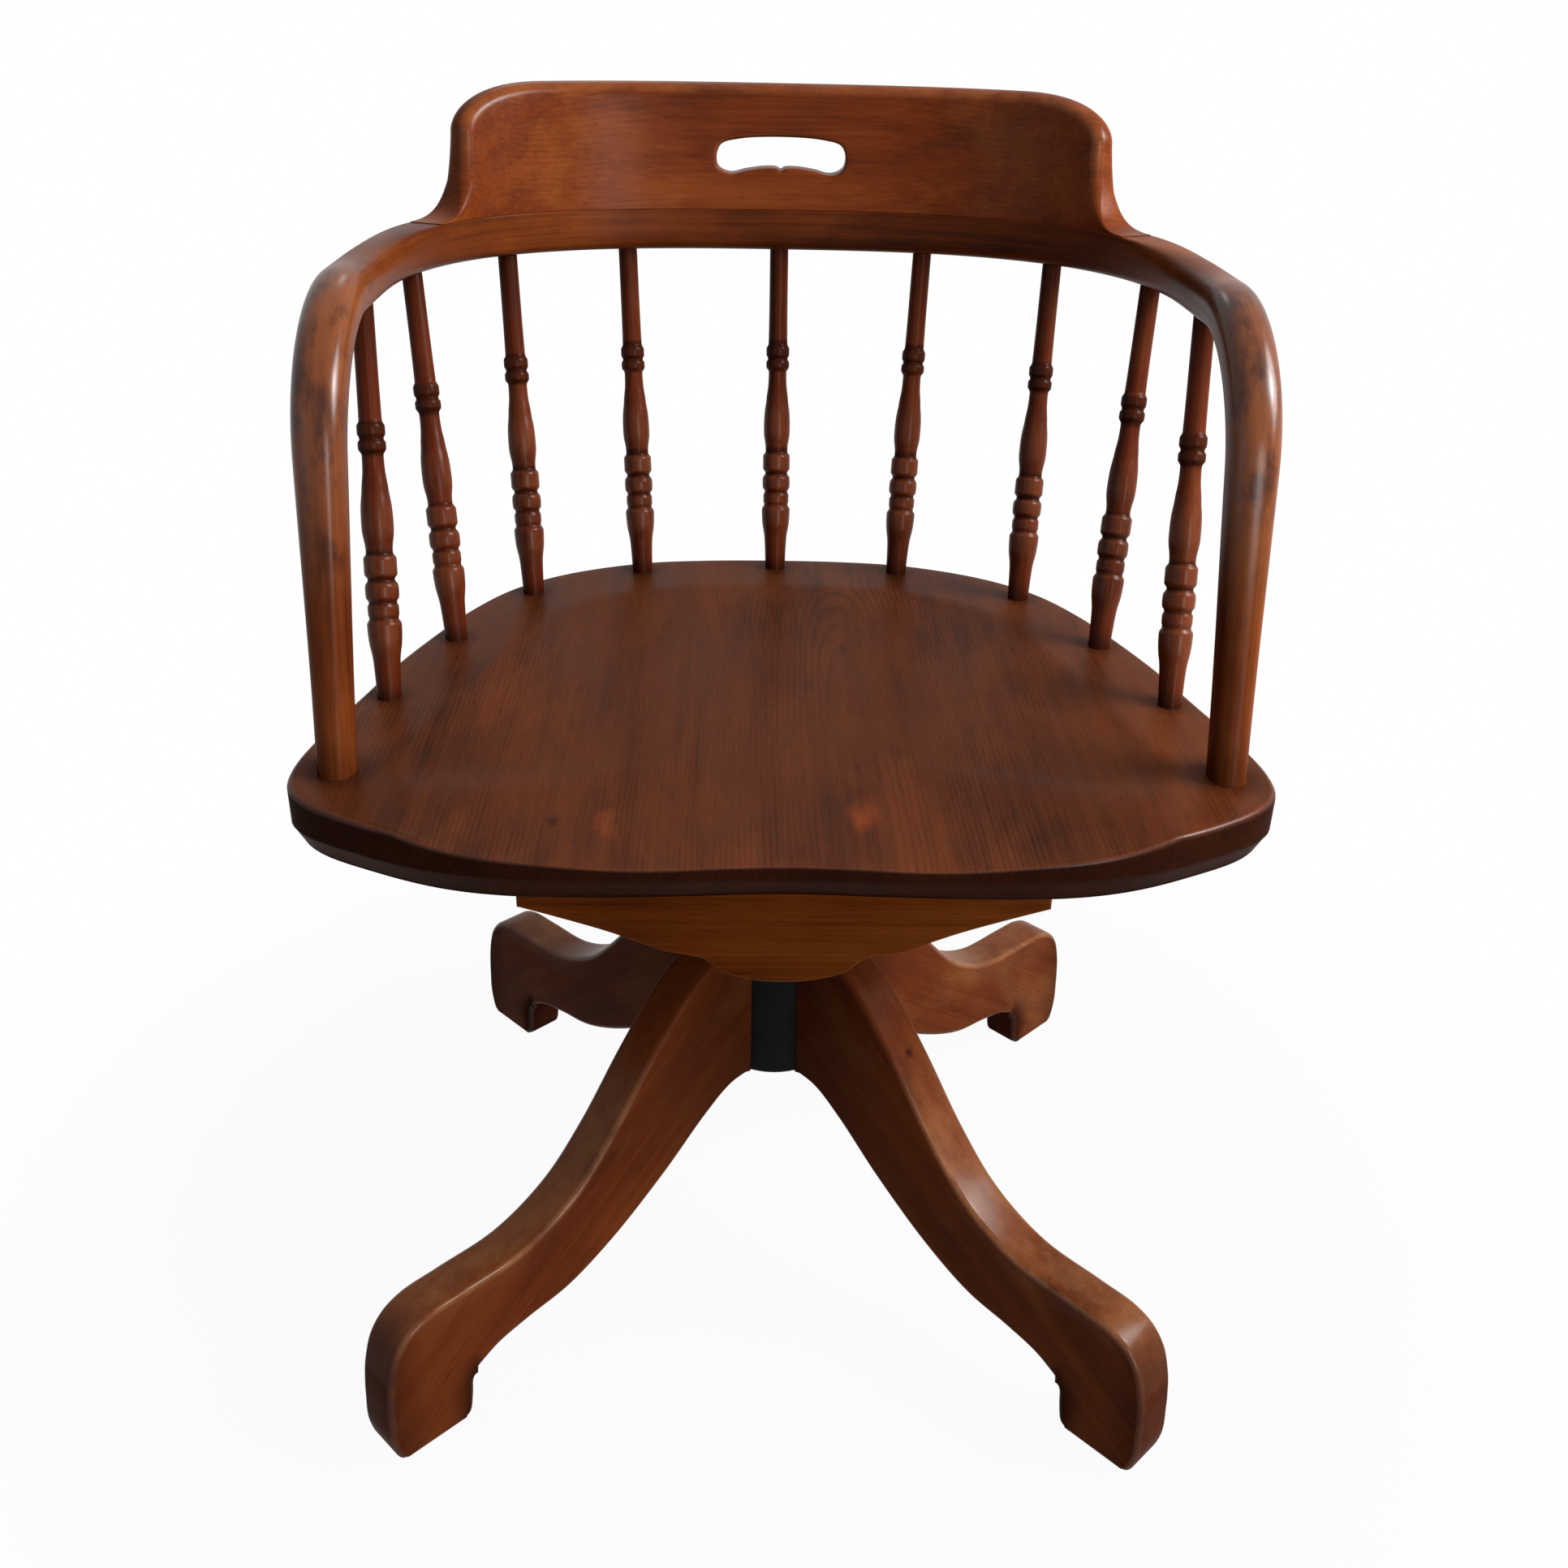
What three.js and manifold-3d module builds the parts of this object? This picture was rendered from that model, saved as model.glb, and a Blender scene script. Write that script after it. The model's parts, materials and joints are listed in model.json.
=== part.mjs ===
// A wooden office swivel armchair: a four-legged plank base round an iron hub, a screw with a
// hand wheel that sets the height, a saddled seat that turns on the screw's pin, nine turned
// spindles, and one bent bow that is back rail and arms, with a crest rail on top of it.
// Millimetres, +Z up, +Y towards the back, the chair's front looks along -Y.

import * as THREE from "three";
import { mergeVertices } from "three/addons/utils/BufferGeometryUtils.js";
import Module from "manifold-3d";

const wasm = await Module();
wasm.setup();

// Fits and cuts
const fitGap = 0.3;
const cutOverrun = 6;

// Seat board
const seatHeight = 446;
const seatThickness = 38;
const seatHalfWidth = 290;
const seatDepth = 460;
const seatFront = 222;
const seatTopRound = 7;
const seatUnderBevelIn = 12;
const seatUnderBevelUp = 9;
const seatRoundTurnShare = 0.3;
const seatFrontSharpShare = 0.65;

// Hollow of the seat
const dishDepth = 13;
const dishCentre = -60;
const rimWidth = 60;
const dishFrontRun = 170;
const dishLip = 16;
const dishSteepness = 3;
const dishFadeStartShare = 0.38;
const dishFadeEndShare = 0.92;
const legHollowDepth = 2.2;
const legHollowPlace = 84;
const legHollowSpread = 42;

// Spindles
const spindleRadius = 9.9;
const spindleInset = 18;
const spindleSpacing = 100.5;
const spindleTopSpacing = 102;
const spindleFootDepth = 18;
const spindleHeadDepth = 14;

// Bow: back rail and arms in one bent piece
const bowRise = 233;
const bowHeight = 29;
const bowWidth = 31;
const bowSideInset = 29;
const bowOverhang = 34;
const bowSidePlace = 40;
const bowCornerPower = 2.75;
const bowSectionPower = 0.62;
const armBendRadius = 95;
const armBendPullShare = 0.56;
const armFootInset = 28;
const armFootPlace = 133;
const armFootWidth = 24;
const armFootLength = 27;
const armTaperHeight = 175;
const armLean = 36;
const armLeanHeight = 154;
const armTenonRadius = 8.5;
const armTenonDepth = 22;

// Crest rail
const crestHeight = 83.7;
const crestHalfRun = 243;
const crestCornerRun = 70;
const crestCornerDrop = 31;
const crestCornerPower = 2.2;
const crestShoulderRun = 30;
const crestShoulderRise = 22;
const crestSteepPower = 5;
const crestFlarePower = 2;
const crestLip = 1.5;
const crestFootThickness = 25;
const crestTopThickness = 17;
const crestLean = 10;
const crestEdgeRound = 4;

// Hand hole in the crest rail
const holeHalfLength = 47;
const holeHeight = 24;
const holeTopBelowCrest = 36;

// Crest dowels
const dowelRadius = 5;
const dowelDepth = 16;
const dowelRun = 172;
const dowelInnerRun = 62;

// Front and rear bearers
const bearerHalfLength = 155;
const bearerDepth = 75;
const bearerEndDepth = 23;
const bearerThickness = 22;
const bearerSetBack = 37;
const rearBearerSetBack = 88;

// Side bearers
const sideBearerWidth = 36;
const sideBearerDepth = 40;
const sideBearerPlace = 75;

// Iron seat plate
const plateThickness = 8;
const plateReach = 62;
const plateLobeRadius = 15;
const plateWaist = 30;
const plateBossRadius = 24;
const plateBossDrop = 38;

// Screw, hand wheel and swivel pin
const screwRadius = 14;
const screwPitch = 8;
const threadDepth = 1.2;
const screwBottomGap = 3;
const heightTravel = 75;
const collarRadius = 19;
const collarHeight = 6;
const pinRadius = 10;
const pinAbovePlate = 18;
const bearingHeight = 3;
const bearingRadius = 22;
const wheelRadius = 46;
const wheelHeight = 20;
const wheelLobeDepth = 3;
const wheelLobes = 8;
const wheelClearance = 5.2;
const washerHeight = 2;
const washerRadius = 31;
const pinWasherRadius = 19;
const pinNutRadius = 17;
const pinNutHeight = 11;

// Iron hub of the base
const hubRadius = 42;
const hubWall = 7;
const hubAboveLegs = 16;
const hubCollarHeight = 30;
const bushWall = 6;
const bushHeight = 40;
const guideHeight = 12;
const guideBossRadius = 19;
const keyScrewRadius = 3;
const keyScrewHeadRadius = 6;
const keyScrewHeadHeight = 5;
const keyDepth = 3;
const keySlotSpare = 2;

// Legs
const legReach = 355;
const legThickness = 33;
const legEdgeBevel = 2;
const legBite = 12;
const baseTurn = THREE.MathUtils.degToRad(-1.5);

// Leg bolts
const boltRadius = 4;
const boltHeadRadius = 7;
const boltHeadHeight = 6;
const boltReach = 55;
const boltLowerShare = 0.29;
const boltUpperShare = 0.72;

// Wood screws of the seat frame
const woodScrewRadius = 2.8;
const woodScrewHeadRadius = 5;
const woodScrewHeadHeight = 4;
const woodScrewBite = 18;
const bearerScrewPlace = 112;
const bearerCounterbore = 12;
const sideScrewInset = 50;
const plateScrewBite = 24;

// Outlines, as shares of the sizes that they follow
// Right half of the seat from the front centre to the back centre: half width, depth
const seatOutlineShares = [
  [0, 0.004], [0.22, 0], [0.42, 0], [0.592, 0.008], [0.718, 0.028], [0.857, 0.07],
  [0.948, 0.112], [0.99, 0.152], [1, 0.204], [0.976, 0.309], [0.93, 0.433], [0.895, 0.53],
  [0.836, 0.648], [0.775, 0.75], [0.686, 0.848], [0.557, 0.922], [0.362, 0.978],
  [0.2, 0.995], [0, 1],
];
// Rings of the seat's hollow from its middle to the rim: reach
const bowlShares = [0.4, 0.7, 0.88, 1];
// Spindle turning from the seat up: length, radius
const spindleShares = [
  [0, 0.65], [0.09, 0.78], [0.16, 0.98], [0.19, 1], [0.206, 0.84], [0.215, 0.9],
  [0.238, 0.9], [0.246, 0.8], [0.256, 0.93], [0.276, 0.97], [0.296, 0.93], [0.306, 0.77],
  [0.32, 0.95], [0.362, 0.95], [0.374, 0.77], [0.445, 0.92], [0.54, 0.76], [0.624, 0.62],
  [0.638, 0.8], [0.654, 0.8], [0.664, 0.7], [0.676, 0.8], [0.696, 0.8], [0.708, 0.64],
  [1, 0.55],
];
// Places of the spindles from the middle one, as shares of their spacing; hand-set, not even
const spindleFootShares = [-4, -2.98, -1.98, -1.04, 0, 0.95, 1.99, 3.01, 4.02];
const spindleHeadShares = [-4, -2.98, -2.02, -1.11, 0, 1.05, 2.03, 3, 4];
// Upper edge of a leg from the hub out: reach, height
const legUpperShares = [
  [0.165, 0.995], [0.253, 0.944], [0.32, 0.862], [0.386, 0.765], [0.485, 0.605],
  [0.577, 0.493], [0.693, 0.425], [0.823, 0.414], [0.913, 0.41], [0.969, 0.366],
];
const legEndShares = [[0.99, 0.3], [0.997, 0.19], [1, 0.075], [0.985, 0.008], [0.972, 0]];
const legHeelShares = [[0.845, 0], [0.831, 0.015], [0.823, 0.066], [0.817, 0.12], [0.808, 0.124]];
// Under edge of a leg from the heel in: reach, height
const legUnderShares = [
  [0.806, 0.146], [0.76, 0.176], [0.69, 0.196], [0.592, 0.216], [0.479, 0.28],
  [0.344, 0.392], [0.231, 0.505], [0.165, 0.555], [0.1, 0.567],
];
// Under edge of a bearer from its end to its middle: half length, depth between end and middle
const bearerShares = [
  [0.86, 0.13], [0.68, 0.31], [0.57, 0.44], [0.46, 0.58], [0.36, 0.64], [0.3, 0.7],
  [0.24, 0.86], [0.12, 0.97], [0, 1],
];
// Hand hole from its left end over the top: half length, height
const holeUpperShares = [[-1, 0.5], [-0.93, 0.82], [-0.66, 0.97], [0, 1.04], [0.66, 0.97],
  [0.93, 0.82], [1, 0.5]];
const holeUnderShares = [[0.96, 0.16], [0.78, 0], [0.52, 0.1], [0.25, 0.17], [0.06, 0.16],
  [0, 0.1], [-0.06, 0.16], [-0.25, 0.17], [-0.52, 0.1], [-0.78, 0], [-0.96, 0.16], [-1, 0.5]];

// Counts
const seatSides = 60;
const seatOutlineSteps = 480;
const roundSides = 36;
const screwSides = 16;
const holeSides = 12;
const boltSides = 10;
const spindleSides = 10;
const sectionSides = 12;
const crestColumns = 36;
const crestColumnPower = 1.6;
const bowRingSteps = 12;
const bowBendSteps = 6;
const armSteps = 4;
const stepsPerLobe = 4;
const nutSides = 6;

// Finishes
const finish = (colour, roughness, metalness = 0) =>
  new THREE.MeshStandardMaterial({ color: colour, roughness, metalness });
const seatWood = () => finish(0x5a2a15, 0.35);
const bowWood = () => finish(0x7b3f1a, 0.32);
const crestWood = () => finish(0x7a3c18, 0.3);
const spindleWood = () => finish(0x6b3215, 0.35);
const legWood = () => finish(0x6e3518, 0.42);
const bearerWood = () => finish(0x7a3d17, 0.45);
const blackIron = () => finish(0x17181a, 0.5, 0.6);
const wornSteel = () => finish(0x5c5b59, 0.4, 0.9);
const brassMetal = () => finish(0x8d6a34, 0.4, 0.9);
const dowelWood = () => finish(0xa9794a, 0.6);

// Solid helpers

function flatVertices(geometry) {
  const bare = geometry.clone();
  bare.deleteAttribute("normal");
  bare.deleteAttribute("uv");
  return mergeVertices(bare);
}

function toManifold(geometry) {
  const merged = flatVertices(geometry);
  const vertProperties = new Float32Array(merged.attributes.position.array);
  const triVerts = new Uint32Array(merged.index.array);
  const solid = new wasm.Manifold(new wasm.Mesh({ numProp: 3, vertProperties, triVerts }));
  return solid;
}

function fromManifold(solid) {
  const mesh = solid.getMesh();
  const geometry = new THREE.BufferGeometry();
  geometry.setAttribute("position", new THREE.BufferAttribute(mesh.vertProperties, 3));
  geometry.setIndex(new THREE.BufferAttribute(mesh.triVerts, 1));
  const shaded = geometry.toNonIndexed();
  shaded.computeVertexNormals();
  return shaded;
}

function cut(geometry, tools) {
  let solid = toManifold(geometry);
  for (const tool of tools) {
    solid = solid.subtract(toManifold(tool));
  }
  return fromManifold(solid);
}

function join(first, ...others) {
  let solid = toManifold(first);
  for (const other of others) {
    solid = solid.add(toManifold(other));
  }
  return fromManifold(solid);
}

// A closed skin through rings of equally many points, from a first tip to a last tip
function loft(rings, firstTip, lastTip) {
  const sides = rings[0].length;
  const points = [firstTip, ...rings.flat(), lastTip];
  const faces = [];
  for (let side = 0; side < sides; side += 1) {
    const next = (side + 1) % sides;
    faces.push(0, 1 + next, 1 + side);
    for (let ring = 0; ring + 1 < rings.length; ring += 1) {
      const low = 1 + ring * sides;
      const high = low + sides;
      faces.push(low + side, low + next, high + next, low + side, high + next, high + side);
    }
    const last = 1 + (rings.length - 1) * sides;
    faces.push(last + side, last + next, points.length - 1);
  }
  const geometry = new THREE.BufferGeometry().setFromPoints(points);
  geometry.setIndex(faces);
  geometry.computeVertexNormals();
  return geometry;
}

const middleOf = (ring) => ring.reduce((sum, point) => sum.add(point), new THREE.Vector3())
  .divideScalar(ring.length);

// A turned solid on the Z axis from a profile of radius and height
function turned(profile, sides = roundSides) {
  const points = profile.map(([radius, height]) => new THREE.Vector2(radius, height));
  return new THREE.LatheGeometry(points, sides).rotateX(Math.PI / 2);
}

// A turned ring, its profile closed on itself
function turnedRing(inner, outer, low, high, sides = roundSides) {
  return turned([[inner, low], [outer, low], [outer, high], [inner, high], [inner, low]], sides);
}

// A round bar from one point to another
function barBetween(from, to, radius, sides = holeSides) {
  const along = new THREE.Vector3().subVectors(to, from);
  const middle = new THREE.Vector3().addVectors(from, to).multiplyScalar(0.5);
  const turn = new THREE.Quaternion()
    .setFromUnitVectors(new THREE.Vector3(0, 1, 0), along.clone().normalize());
  const bar = new THREE.CylinderGeometry(radius, radius, along.length(), sides);
  return bar.applyQuaternion(turn).translate(middle.x, middle.y, middle.z);
}

// A headed screw or bolt on the Z axis, its head's seat at zero and its shank upwards
function headedShank(headRadius, headHeight, shankRadius, shankLength) {
  return turned([
    [0, -headHeight], [headRadius, -headHeight], [headRadius, 0], [shankRadius, 0],
    [shankRadius, shankLength - shankRadius], [0, shankLength],
  ], boltSides);
}

function piece(name, geometry, material) {
  const mesh = new THREE.Mesh(geometry, material);
  mesh.name = name;
  return mesh;
}

// Radius of a many-sided hole whose flats clear a round piece by the fit
const bore = (radius, sides = holeSides) => (radius + fitGap) / Math.cos(Math.PI / sides);

const smooth = (low, high, value) => THREE.MathUtils.smoothstep(value, low, high);

// Seat outline and places measured along it

const seatPoints = seatOutlineShares.map(([across, deep]) =>
  new THREE.Vector3(across * seatHalfWidth, deep * seatDepth - seatFront, 0));
const seatMirror = seatPoints.slice(1, -1).reverse()
  .map((point) => new THREE.Vector3(-point.x, point.y, 0));
const seatCurve = new THREE.CatmullRomCurve3([...seatPoints, ...seatMirror], true);
const seatSamples = seatCurve.getSpacedPoints(seatOutlineSteps);
const seatUnderside = seatHeight - seatThickness;

// The right half of the outline, moved in by an inset, from the back centre forwards
function insetRun(inset) {
  const half = Math.floor(seatSamples.length / 2);
  const run = [];
  for (let index = half; index > 0; index -= 1) {
    const point = seatSamples[index];
    const along = new THREE.Vector3().subVectors(seatSamples[index + 1], seatSamples[index - 1]);
    const inward = new THREE.Vector3(-along.y, along.x, 0).normalize();
    run.push(point.clone().addScaledVector(inward, inset));
  }
  run[0].x = 0;
  return run;
}

// The point at a distance along a run of points
function pointAlong(run, distance) {
  let left = distance;
  for (let index = 0; index + 1 < run.length; index += 1) {
    const step = run[index].distanceTo(run[index + 1]);
    if (left <= step) {
      return run[index].clone().lerp(run[index + 1], left / step);
    }
    left -= step;
  }
  return run[run.length - 1].clone();
}

// Distance from the dish centre to the seat's outline in a direction
const seatAngles = seatSamples.slice(0, -1)
  .map((point) => Math.atan2(point.x, point.y - dishCentre));

function outlineReach(angle) {
  const count = seatAngles.length;
  for (let index = 0; index < count; index += 1) {
    const next = (index + 1) % count;
    const start = Math.sin(seatAngles[index] - angle);
    const end = Math.sin(seatAngles[next] - angle);
    const facing = Math.cos(seatAngles[index] - angle) > 0;
    if (facing && start >= 0 && end < 0) {
      const point = seatSamples[index].clone()
        .lerp(seatSamples[next], start / (start - end));
      return Math.hypot(point.x, point.y - dishCentre);
    }
  }
  return seatHalfWidth;
}

// None at the sides and back, one at the front, where the rim fades out
const frontness = (angle) => smooth(dishFadeStartShare, dishFadeEndShare, -Math.cos(angle));

function dishReach(angle, outline) {
  const front = frontness(angle);
  return outline - rimWidth * (1 - front) + dishFrontRun * front;
}

// How far the seat's upper face lies below its flat rim
function seatHollow(angle, reach, dish) {
  const share = reach / dish;
  const bowl = share < 1 ? dishDepth * (1 - share ** dishSteepness) : 0;
  const across = Math.abs(Math.sin(angle)) * reach;
  const forward = -Math.cos(angle) * reach;
  const ridge = Math.exp(-(((across - legHollowPlace) / legHollowSpread) ** 2));
  const run = smooth(0, seatFront + dishCentre, forward);
  return bowl + (share < 1 ? legHollowDepth * ridge * run : 0);
}

function seatSolid() {
  const rings = { under: [], bevel: [], side: [], round: [], edge: [] };
  const bowl = bowlShares.map(() => []);
  for (let side = 0; side < seatSides; side += 1) {
    const angle = -(side / seatSides) * 2 * Math.PI;
    const outline = outlineReach(angle);
    const dish = dishReach(angle, outline);
    const front = frontness(angle);
    const round = seatTopRound * (1 - seatFrontSharpShare * front);
    const turn = round * seatRoundTurnShare;
    const place = (reach, height) => new THREE.Vector3(
      Math.sin(angle) * reach, Math.cos(angle) * reach + dishCentre, height);
    const flat = outline - round;
    const edge = seatHeight - seatHollow(angle, flat, dish);
    const crease = Math.min(dish, outline - dishLip);
    rings.under.push(place(outline - seatUnderBevelIn, seatUnderside));
    rings.bevel.push(place(outline, seatUnderside + seatUnderBevelUp));
    rings.side.push(place(outline, edge - round));
    rings.round.push(place(outline - turn, edge - turn));
    rings.edge.push(place(flat, edge));
    bowlShares.forEach((share, index) => {
      const reach = crease * share;
      bowl[index].push(place(reach, seatHeight - seatHollow(angle, reach, dish)));
    });
  }
  const upper = [...bowl].reverse();
  const all = [rings.under, rings.bevel, rings.side, rings.round, rings.edge, ...upper];
  const below = new THREE.Vector3(0, dishCentre, seatUnderside);
  const above = new THREE.Vector3(0, dishCentre, seatHeight - dishDepth);
  return loft(all, below, above);
}

// Bow path and section

const bowUnderside = seatHeight + bowRise;
const bowHalfWidth = seatHalfWidth - bowSideInset;
const bowBack = seatDepth - seatFront + bowOverhang;

// The right half of the bow's middle line from the back centre to the arm's foot
function bowHalfPath() {
  const path = new THREE.CurvePath();
  const middle = bowUnderside + bowHeight / 2;
  const ring = [];
  for (let step = 0; step <= bowRingSteps; step += 1) {
    const turn = (step / bowRingSteps) * (Math.PI / 2);
    const power = 2 / bowCornerPower;
    ring.push(new THREE.Vector3(
      bowHalfWidth * Math.sin(turn) ** power,
      bowSidePlace + (bowBack - bowSidePlace) * Math.max(Math.cos(turn), 0) ** power, middle));
  }
  const lean = Math.atan2(armLean, armLeanHeight);
  const rise = middle - seatHeight - fitGap;
  const corner = new THREE.Vector3(bowHalfWidth, rise * Math.tan(lean) - armFootPlace, middle);
  const foot = new THREE.Vector3(seatHalfWidth - armFootInset, -armFootPlace,
    seatHeight + fitGap);
  const down = new THREE.Vector3().subVectors(foot, corner).normalize();
  const setback = armBendRadius * Math.tan((Math.PI / 2 - lean) / 2);
  const bendStart = corner.clone().add(new THREE.Vector3(0, setback, 0));
  const bendEnd = corner.clone().addScaledVector(down, setback);
  path.add(new THREE.CatmullRomCurve3(ring));
  path.add(new THREE.LineCurve3(ring[bowRingSteps], bendStart));
  path.add(new THREE.CubicBezierCurve3(bendStart, bendStart.clone().lerp(corner, armBendPullShare),
    bendEnd.clone().lerp(corner, armBendPullShare), bendEnd));
  path.add(new THREE.LineCurve3(bendEnd, foot));
  return path;
}

const bowPath = bowHalfPath();
const bowRun = bowPath.getLength();
const armRun = bowPath.curves[3].getLength();

function bowFrame(distance) {
  const share = Math.min(distance / bowRun, 1);
  const point = bowPath.getPointAt(share);
  const along = distance === 0 ? new THREE.Vector3(1, 0, 0) : bowPath.getTangentAt(share);
  const inward = new THREE.Vector3(along.y, -along.x, 0).normalize();
  const upward = new THREE.Vector3().crossVectors(inward, along).normalize();
  return { point, along, inward, upward };
}

// One closed section of the bow; its last one lies flat on the seat
function bowSection(distance, mirrored) {
  const { point, along, inward, upward } = bowFrame(distance);
  const toFoot = bowRun - distance;
  const full = smooth(0, armTaperHeight, toFoot);
  const width = THREE.MathUtils.lerp(armFootWidth, bowWidth, full);
  const height = THREE.MathUtils.lerp(armFootLength, bowHeight, full);
  const ring = [];
  for (let side = 0; side < sectionSides; side += 1) {
    const angle = (side / sectionSides) * 2 * Math.PI;
    const across = Math.sign(Math.cos(angle)) * Math.abs(Math.cos(angle)) ** bowSectionPower;
    const over = Math.sign(Math.sin(angle)) * Math.abs(Math.sin(angle)) ** bowSectionPower;
    const corner = point.clone()
      .addScaledVector(inward, across * width / 2)
      .addScaledVector(upward, over * height / 2);
    if (toFoot < fitGap) {
      corner.addScaledVector(along, (point.z - corner.z) / along.z);
    }
    ring.push(mirrored ? new THREE.Vector3(-corner.x, corner.y, corner.z) : corner);
  }
  return ring;
}

function bowSolid() {
  const distances = [];
  const bendRun = bowPath.curves[2].getLength();
  const flatRun = bowRun - armRun - bendRun;
  for (let step = 1; step <= bowRingSteps; step += 1) {
    distances.push(flatRun * step / bowRingSteps);
  }
  for (let step = 1; step <= bowBendSteps; step += 1) {
    distances.push(flatRun + bendRun * step / bowBendSteps);
  }
  for (let step = 1; step <= armSteps; step += 1) {
    distances.push(flatRun + bendRun + armRun * step / armSteps);
  }
  const left = [...distances].reverse().map((distance) => bowSection(distance, true));
  const right = [0, ...distances].map((distance) => bowSection(distance, false));
  const rings = [...left, ...right].map((ring) => ring.reverse());
  return loft(rings, middleOf(rings[0]), middleOf(rings[rings.length - 1]));
}

// Arm tenons, along each arm's own lean
function armTenon(side, radius, depth) {
  const { point, along } = bowFrame(bowRun);
  const from = point.clone().addScaledVector(along, -armTenonDepth);
  const to = point.clone().addScaledVector(along, depth);
  const ends = [from, to].map((end) => new THREE.Vector3(side * end.x, end.y, end.z));
  return barBetween(ends[0], ends[1], radius);
}

// Spindle places
const spindleBaseRun = insetRun(spindleInset);
const spindleLines = spindleFootShares.map((footShare, index) => {
  const headShare = spindleHeadShares[index];
  const foot = pointAlong(spindleBaseRun, Math.abs(footShare) * spindleSpacing);
  const head = bowFrame(Math.abs(headShare) * spindleTopSpacing).point;
  return {
    base: new THREE.Vector3(Math.sign(footShare) * foot.x, foot.y, seatHeight),
    top: new THREE.Vector3(Math.sign(headShare) * head.x, head.y, bowUnderside),
  };
});
const spindleFootRadius = spindleShares[0][1] * spindleRadius;
const spindleHeadRadius = spindleShares[spindleShares.length - 1][1] * spindleRadius;

function spindleSolid(length) {
  const profile = [[0, -spindleFootDepth], [spindleFootRadius, -spindleFootDepth]];
  for (const [along, wide] of spindleShares) {
    profile.push([wide * spindleRadius, along * length]);
  }
  profile.push([spindleHeadRadius, length + spindleHeadDepth], [0, length + spindleHeadDepth]);
  return turned(profile, spindleSides);
}

// A hole along a spindle's own line, below the seat's face or above the bow's underside
function spindleHole({ base, top }, end) {
  const along = new THREE.Vector3().subVectors(top, base).normalize();
  if (end === "foot") {
    const bottom = base.clone().addScaledVector(along, -spindleFootDepth - fitGap);
    return barBetween(bottom, base.clone().addScaledVector(along, cutOverrun),
      bore(spindleFootRadius));
  }
  const ceiling = top.clone().addScaledVector(along, spindleHeadDepth + fitGap);
  return barBetween(top.clone().addScaledVector(along, -cutOverrun), ceiling,
    bore(spindleHeadRadius));
}

// Crest rail

const crestFoot = bowUnderside + bowHeight + fitGap;
const crestEnd = crestHalfRun + crestShoulderRun;

// Height of the crest rail above its foot at a distance along the bow from the back centre
function crestRise(distance) {
  const cornerStart = crestHalfRun - crestCornerRun;
  if (distance <= cornerStart) {
    return crestHeight;
  }
  if (distance <= crestHalfRun) {
    const share = (distance - cornerStart) / crestCornerRun;
    return crestHeight - crestCornerDrop * (1 - Math.sqrt(1 - share ** crestCornerPower));
  }
  const share = Math.min((distance - crestHalfRun) / crestShoulderRun, 1);
  const steep = (1 - share) ** crestSteepPower;
  const flare = (1 - share) ** crestFlarePower;
  const sideTop = crestHeight - crestCornerDrop;
  return crestLip + (crestShoulderRise - crestLip) * flare + (sideTop - crestShoulderRise) * steep;
}

function crestSection(signedDistance) {
  const distance = Math.abs(signedDistance);
  const mirror = signedDistance < 0 ? -1 : 1;
  const { point, inward } = bowFrame(distance);
  const rise = crestRise(distance);
  const topShare = rise / crestHeight;
  const round = Math.min(crestEdgeRound, rise / 3);
  const place = (depth, height) => {
    const corner = point.clone().addScaledVector(inward, bowWidth / 2 - depth);
    corner.z = crestFoot + height;
    corner.x *= mirror;
    return corner;
  };
  const leanAt = (height) => crestLean * height / crestHeight;
  const backAt = (height) => leanAt(height) + THREE.MathUtils.lerp(crestFootThickness,
    crestTopThickness, height / crestHeight);
  const inset = crestEdgeRound * (1 - topShare) / 2;
  return [
    place(inset, 0),
    place(inset + leanAt(rise / 2), rise / 2),
    place(inset + leanAt(rise), rise - round),
    place(inset + leanAt(rise) + round, rise),
    place(backAt(rise) - round, rise),
    place(backAt(rise), rise - round),
    place(backAt(rise / 2), rise / 2),
    place(backAt(0), 0),
  ];
}

function crestSolid() {
  const stations = [];
  const half = crestColumns / 2;
  for (let column = -half; column <= half; column += 1) {
    const share = Math.abs(column) / half;
    const spread = 1 - (1 - share) ** crestColumnPower;
    stations.push(Math.sign(column) * spread * crestEnd);
  }
  const rings = stations.map((station) => crestSection(station).reverse());
  return loft(rings, middleOf(rings[0]), middleOf(rings[rings.length - 1]));
}

function handHole() {
  const low = crestHeight - holeTopBelowCrest - holeHeight;
  const at = ([across, up]) => new THREE.Vector2(across * holeHalfLength,
    crestFoot + low + up * holeHeight);
  const outline = new THREE.Shape();
  const start = at(holeUpperShares[0]);
  outline.moveTo(start.x, start.y);
  outline.splineThru(holeUpperShares.slice(1).map(at));
  outline.splineThru(holeUnderShares.map(at));
  const deep = bowBack + bowWidth + crestLean;
  const hole = new THREE.ExtrudeGeometry(outline,
    { depth: deep, bevelEnabled: false, curveSegments: 3 });
  return hole.rotateX(Math.PI / 2).translate(0, deep + bowSidePlace, 0);
}

const dowelPlaces = [-dowelRun, -dowelInnerRun, dowelInnerRun, dowelRun].map((distance) => {
  const { point, inward } = bowFrame(Math.abs(distance));
  const middle = point.clone()
    .addScaledVector(inward, (bowWidth - crestFootThickness) / 2);
  return new THREE.Vector3(Math.sign(distance) * middle.x, middle.y, crestFoot - fitGap / 2);
});

function dowelBar(place, radius, halfLength) {
  const reach = new THREE.Vector3(0, 0, halfLength);
  return barBetween(place.clone().sub(reach), place.clone().add(reach), radius);
}

const dowelHoles = () =>
  dowelPlaces.map((place) => dowelBar(place, bore(dowelRadius), dowelDepth + fitGap));

// Bearers under the seat

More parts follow.
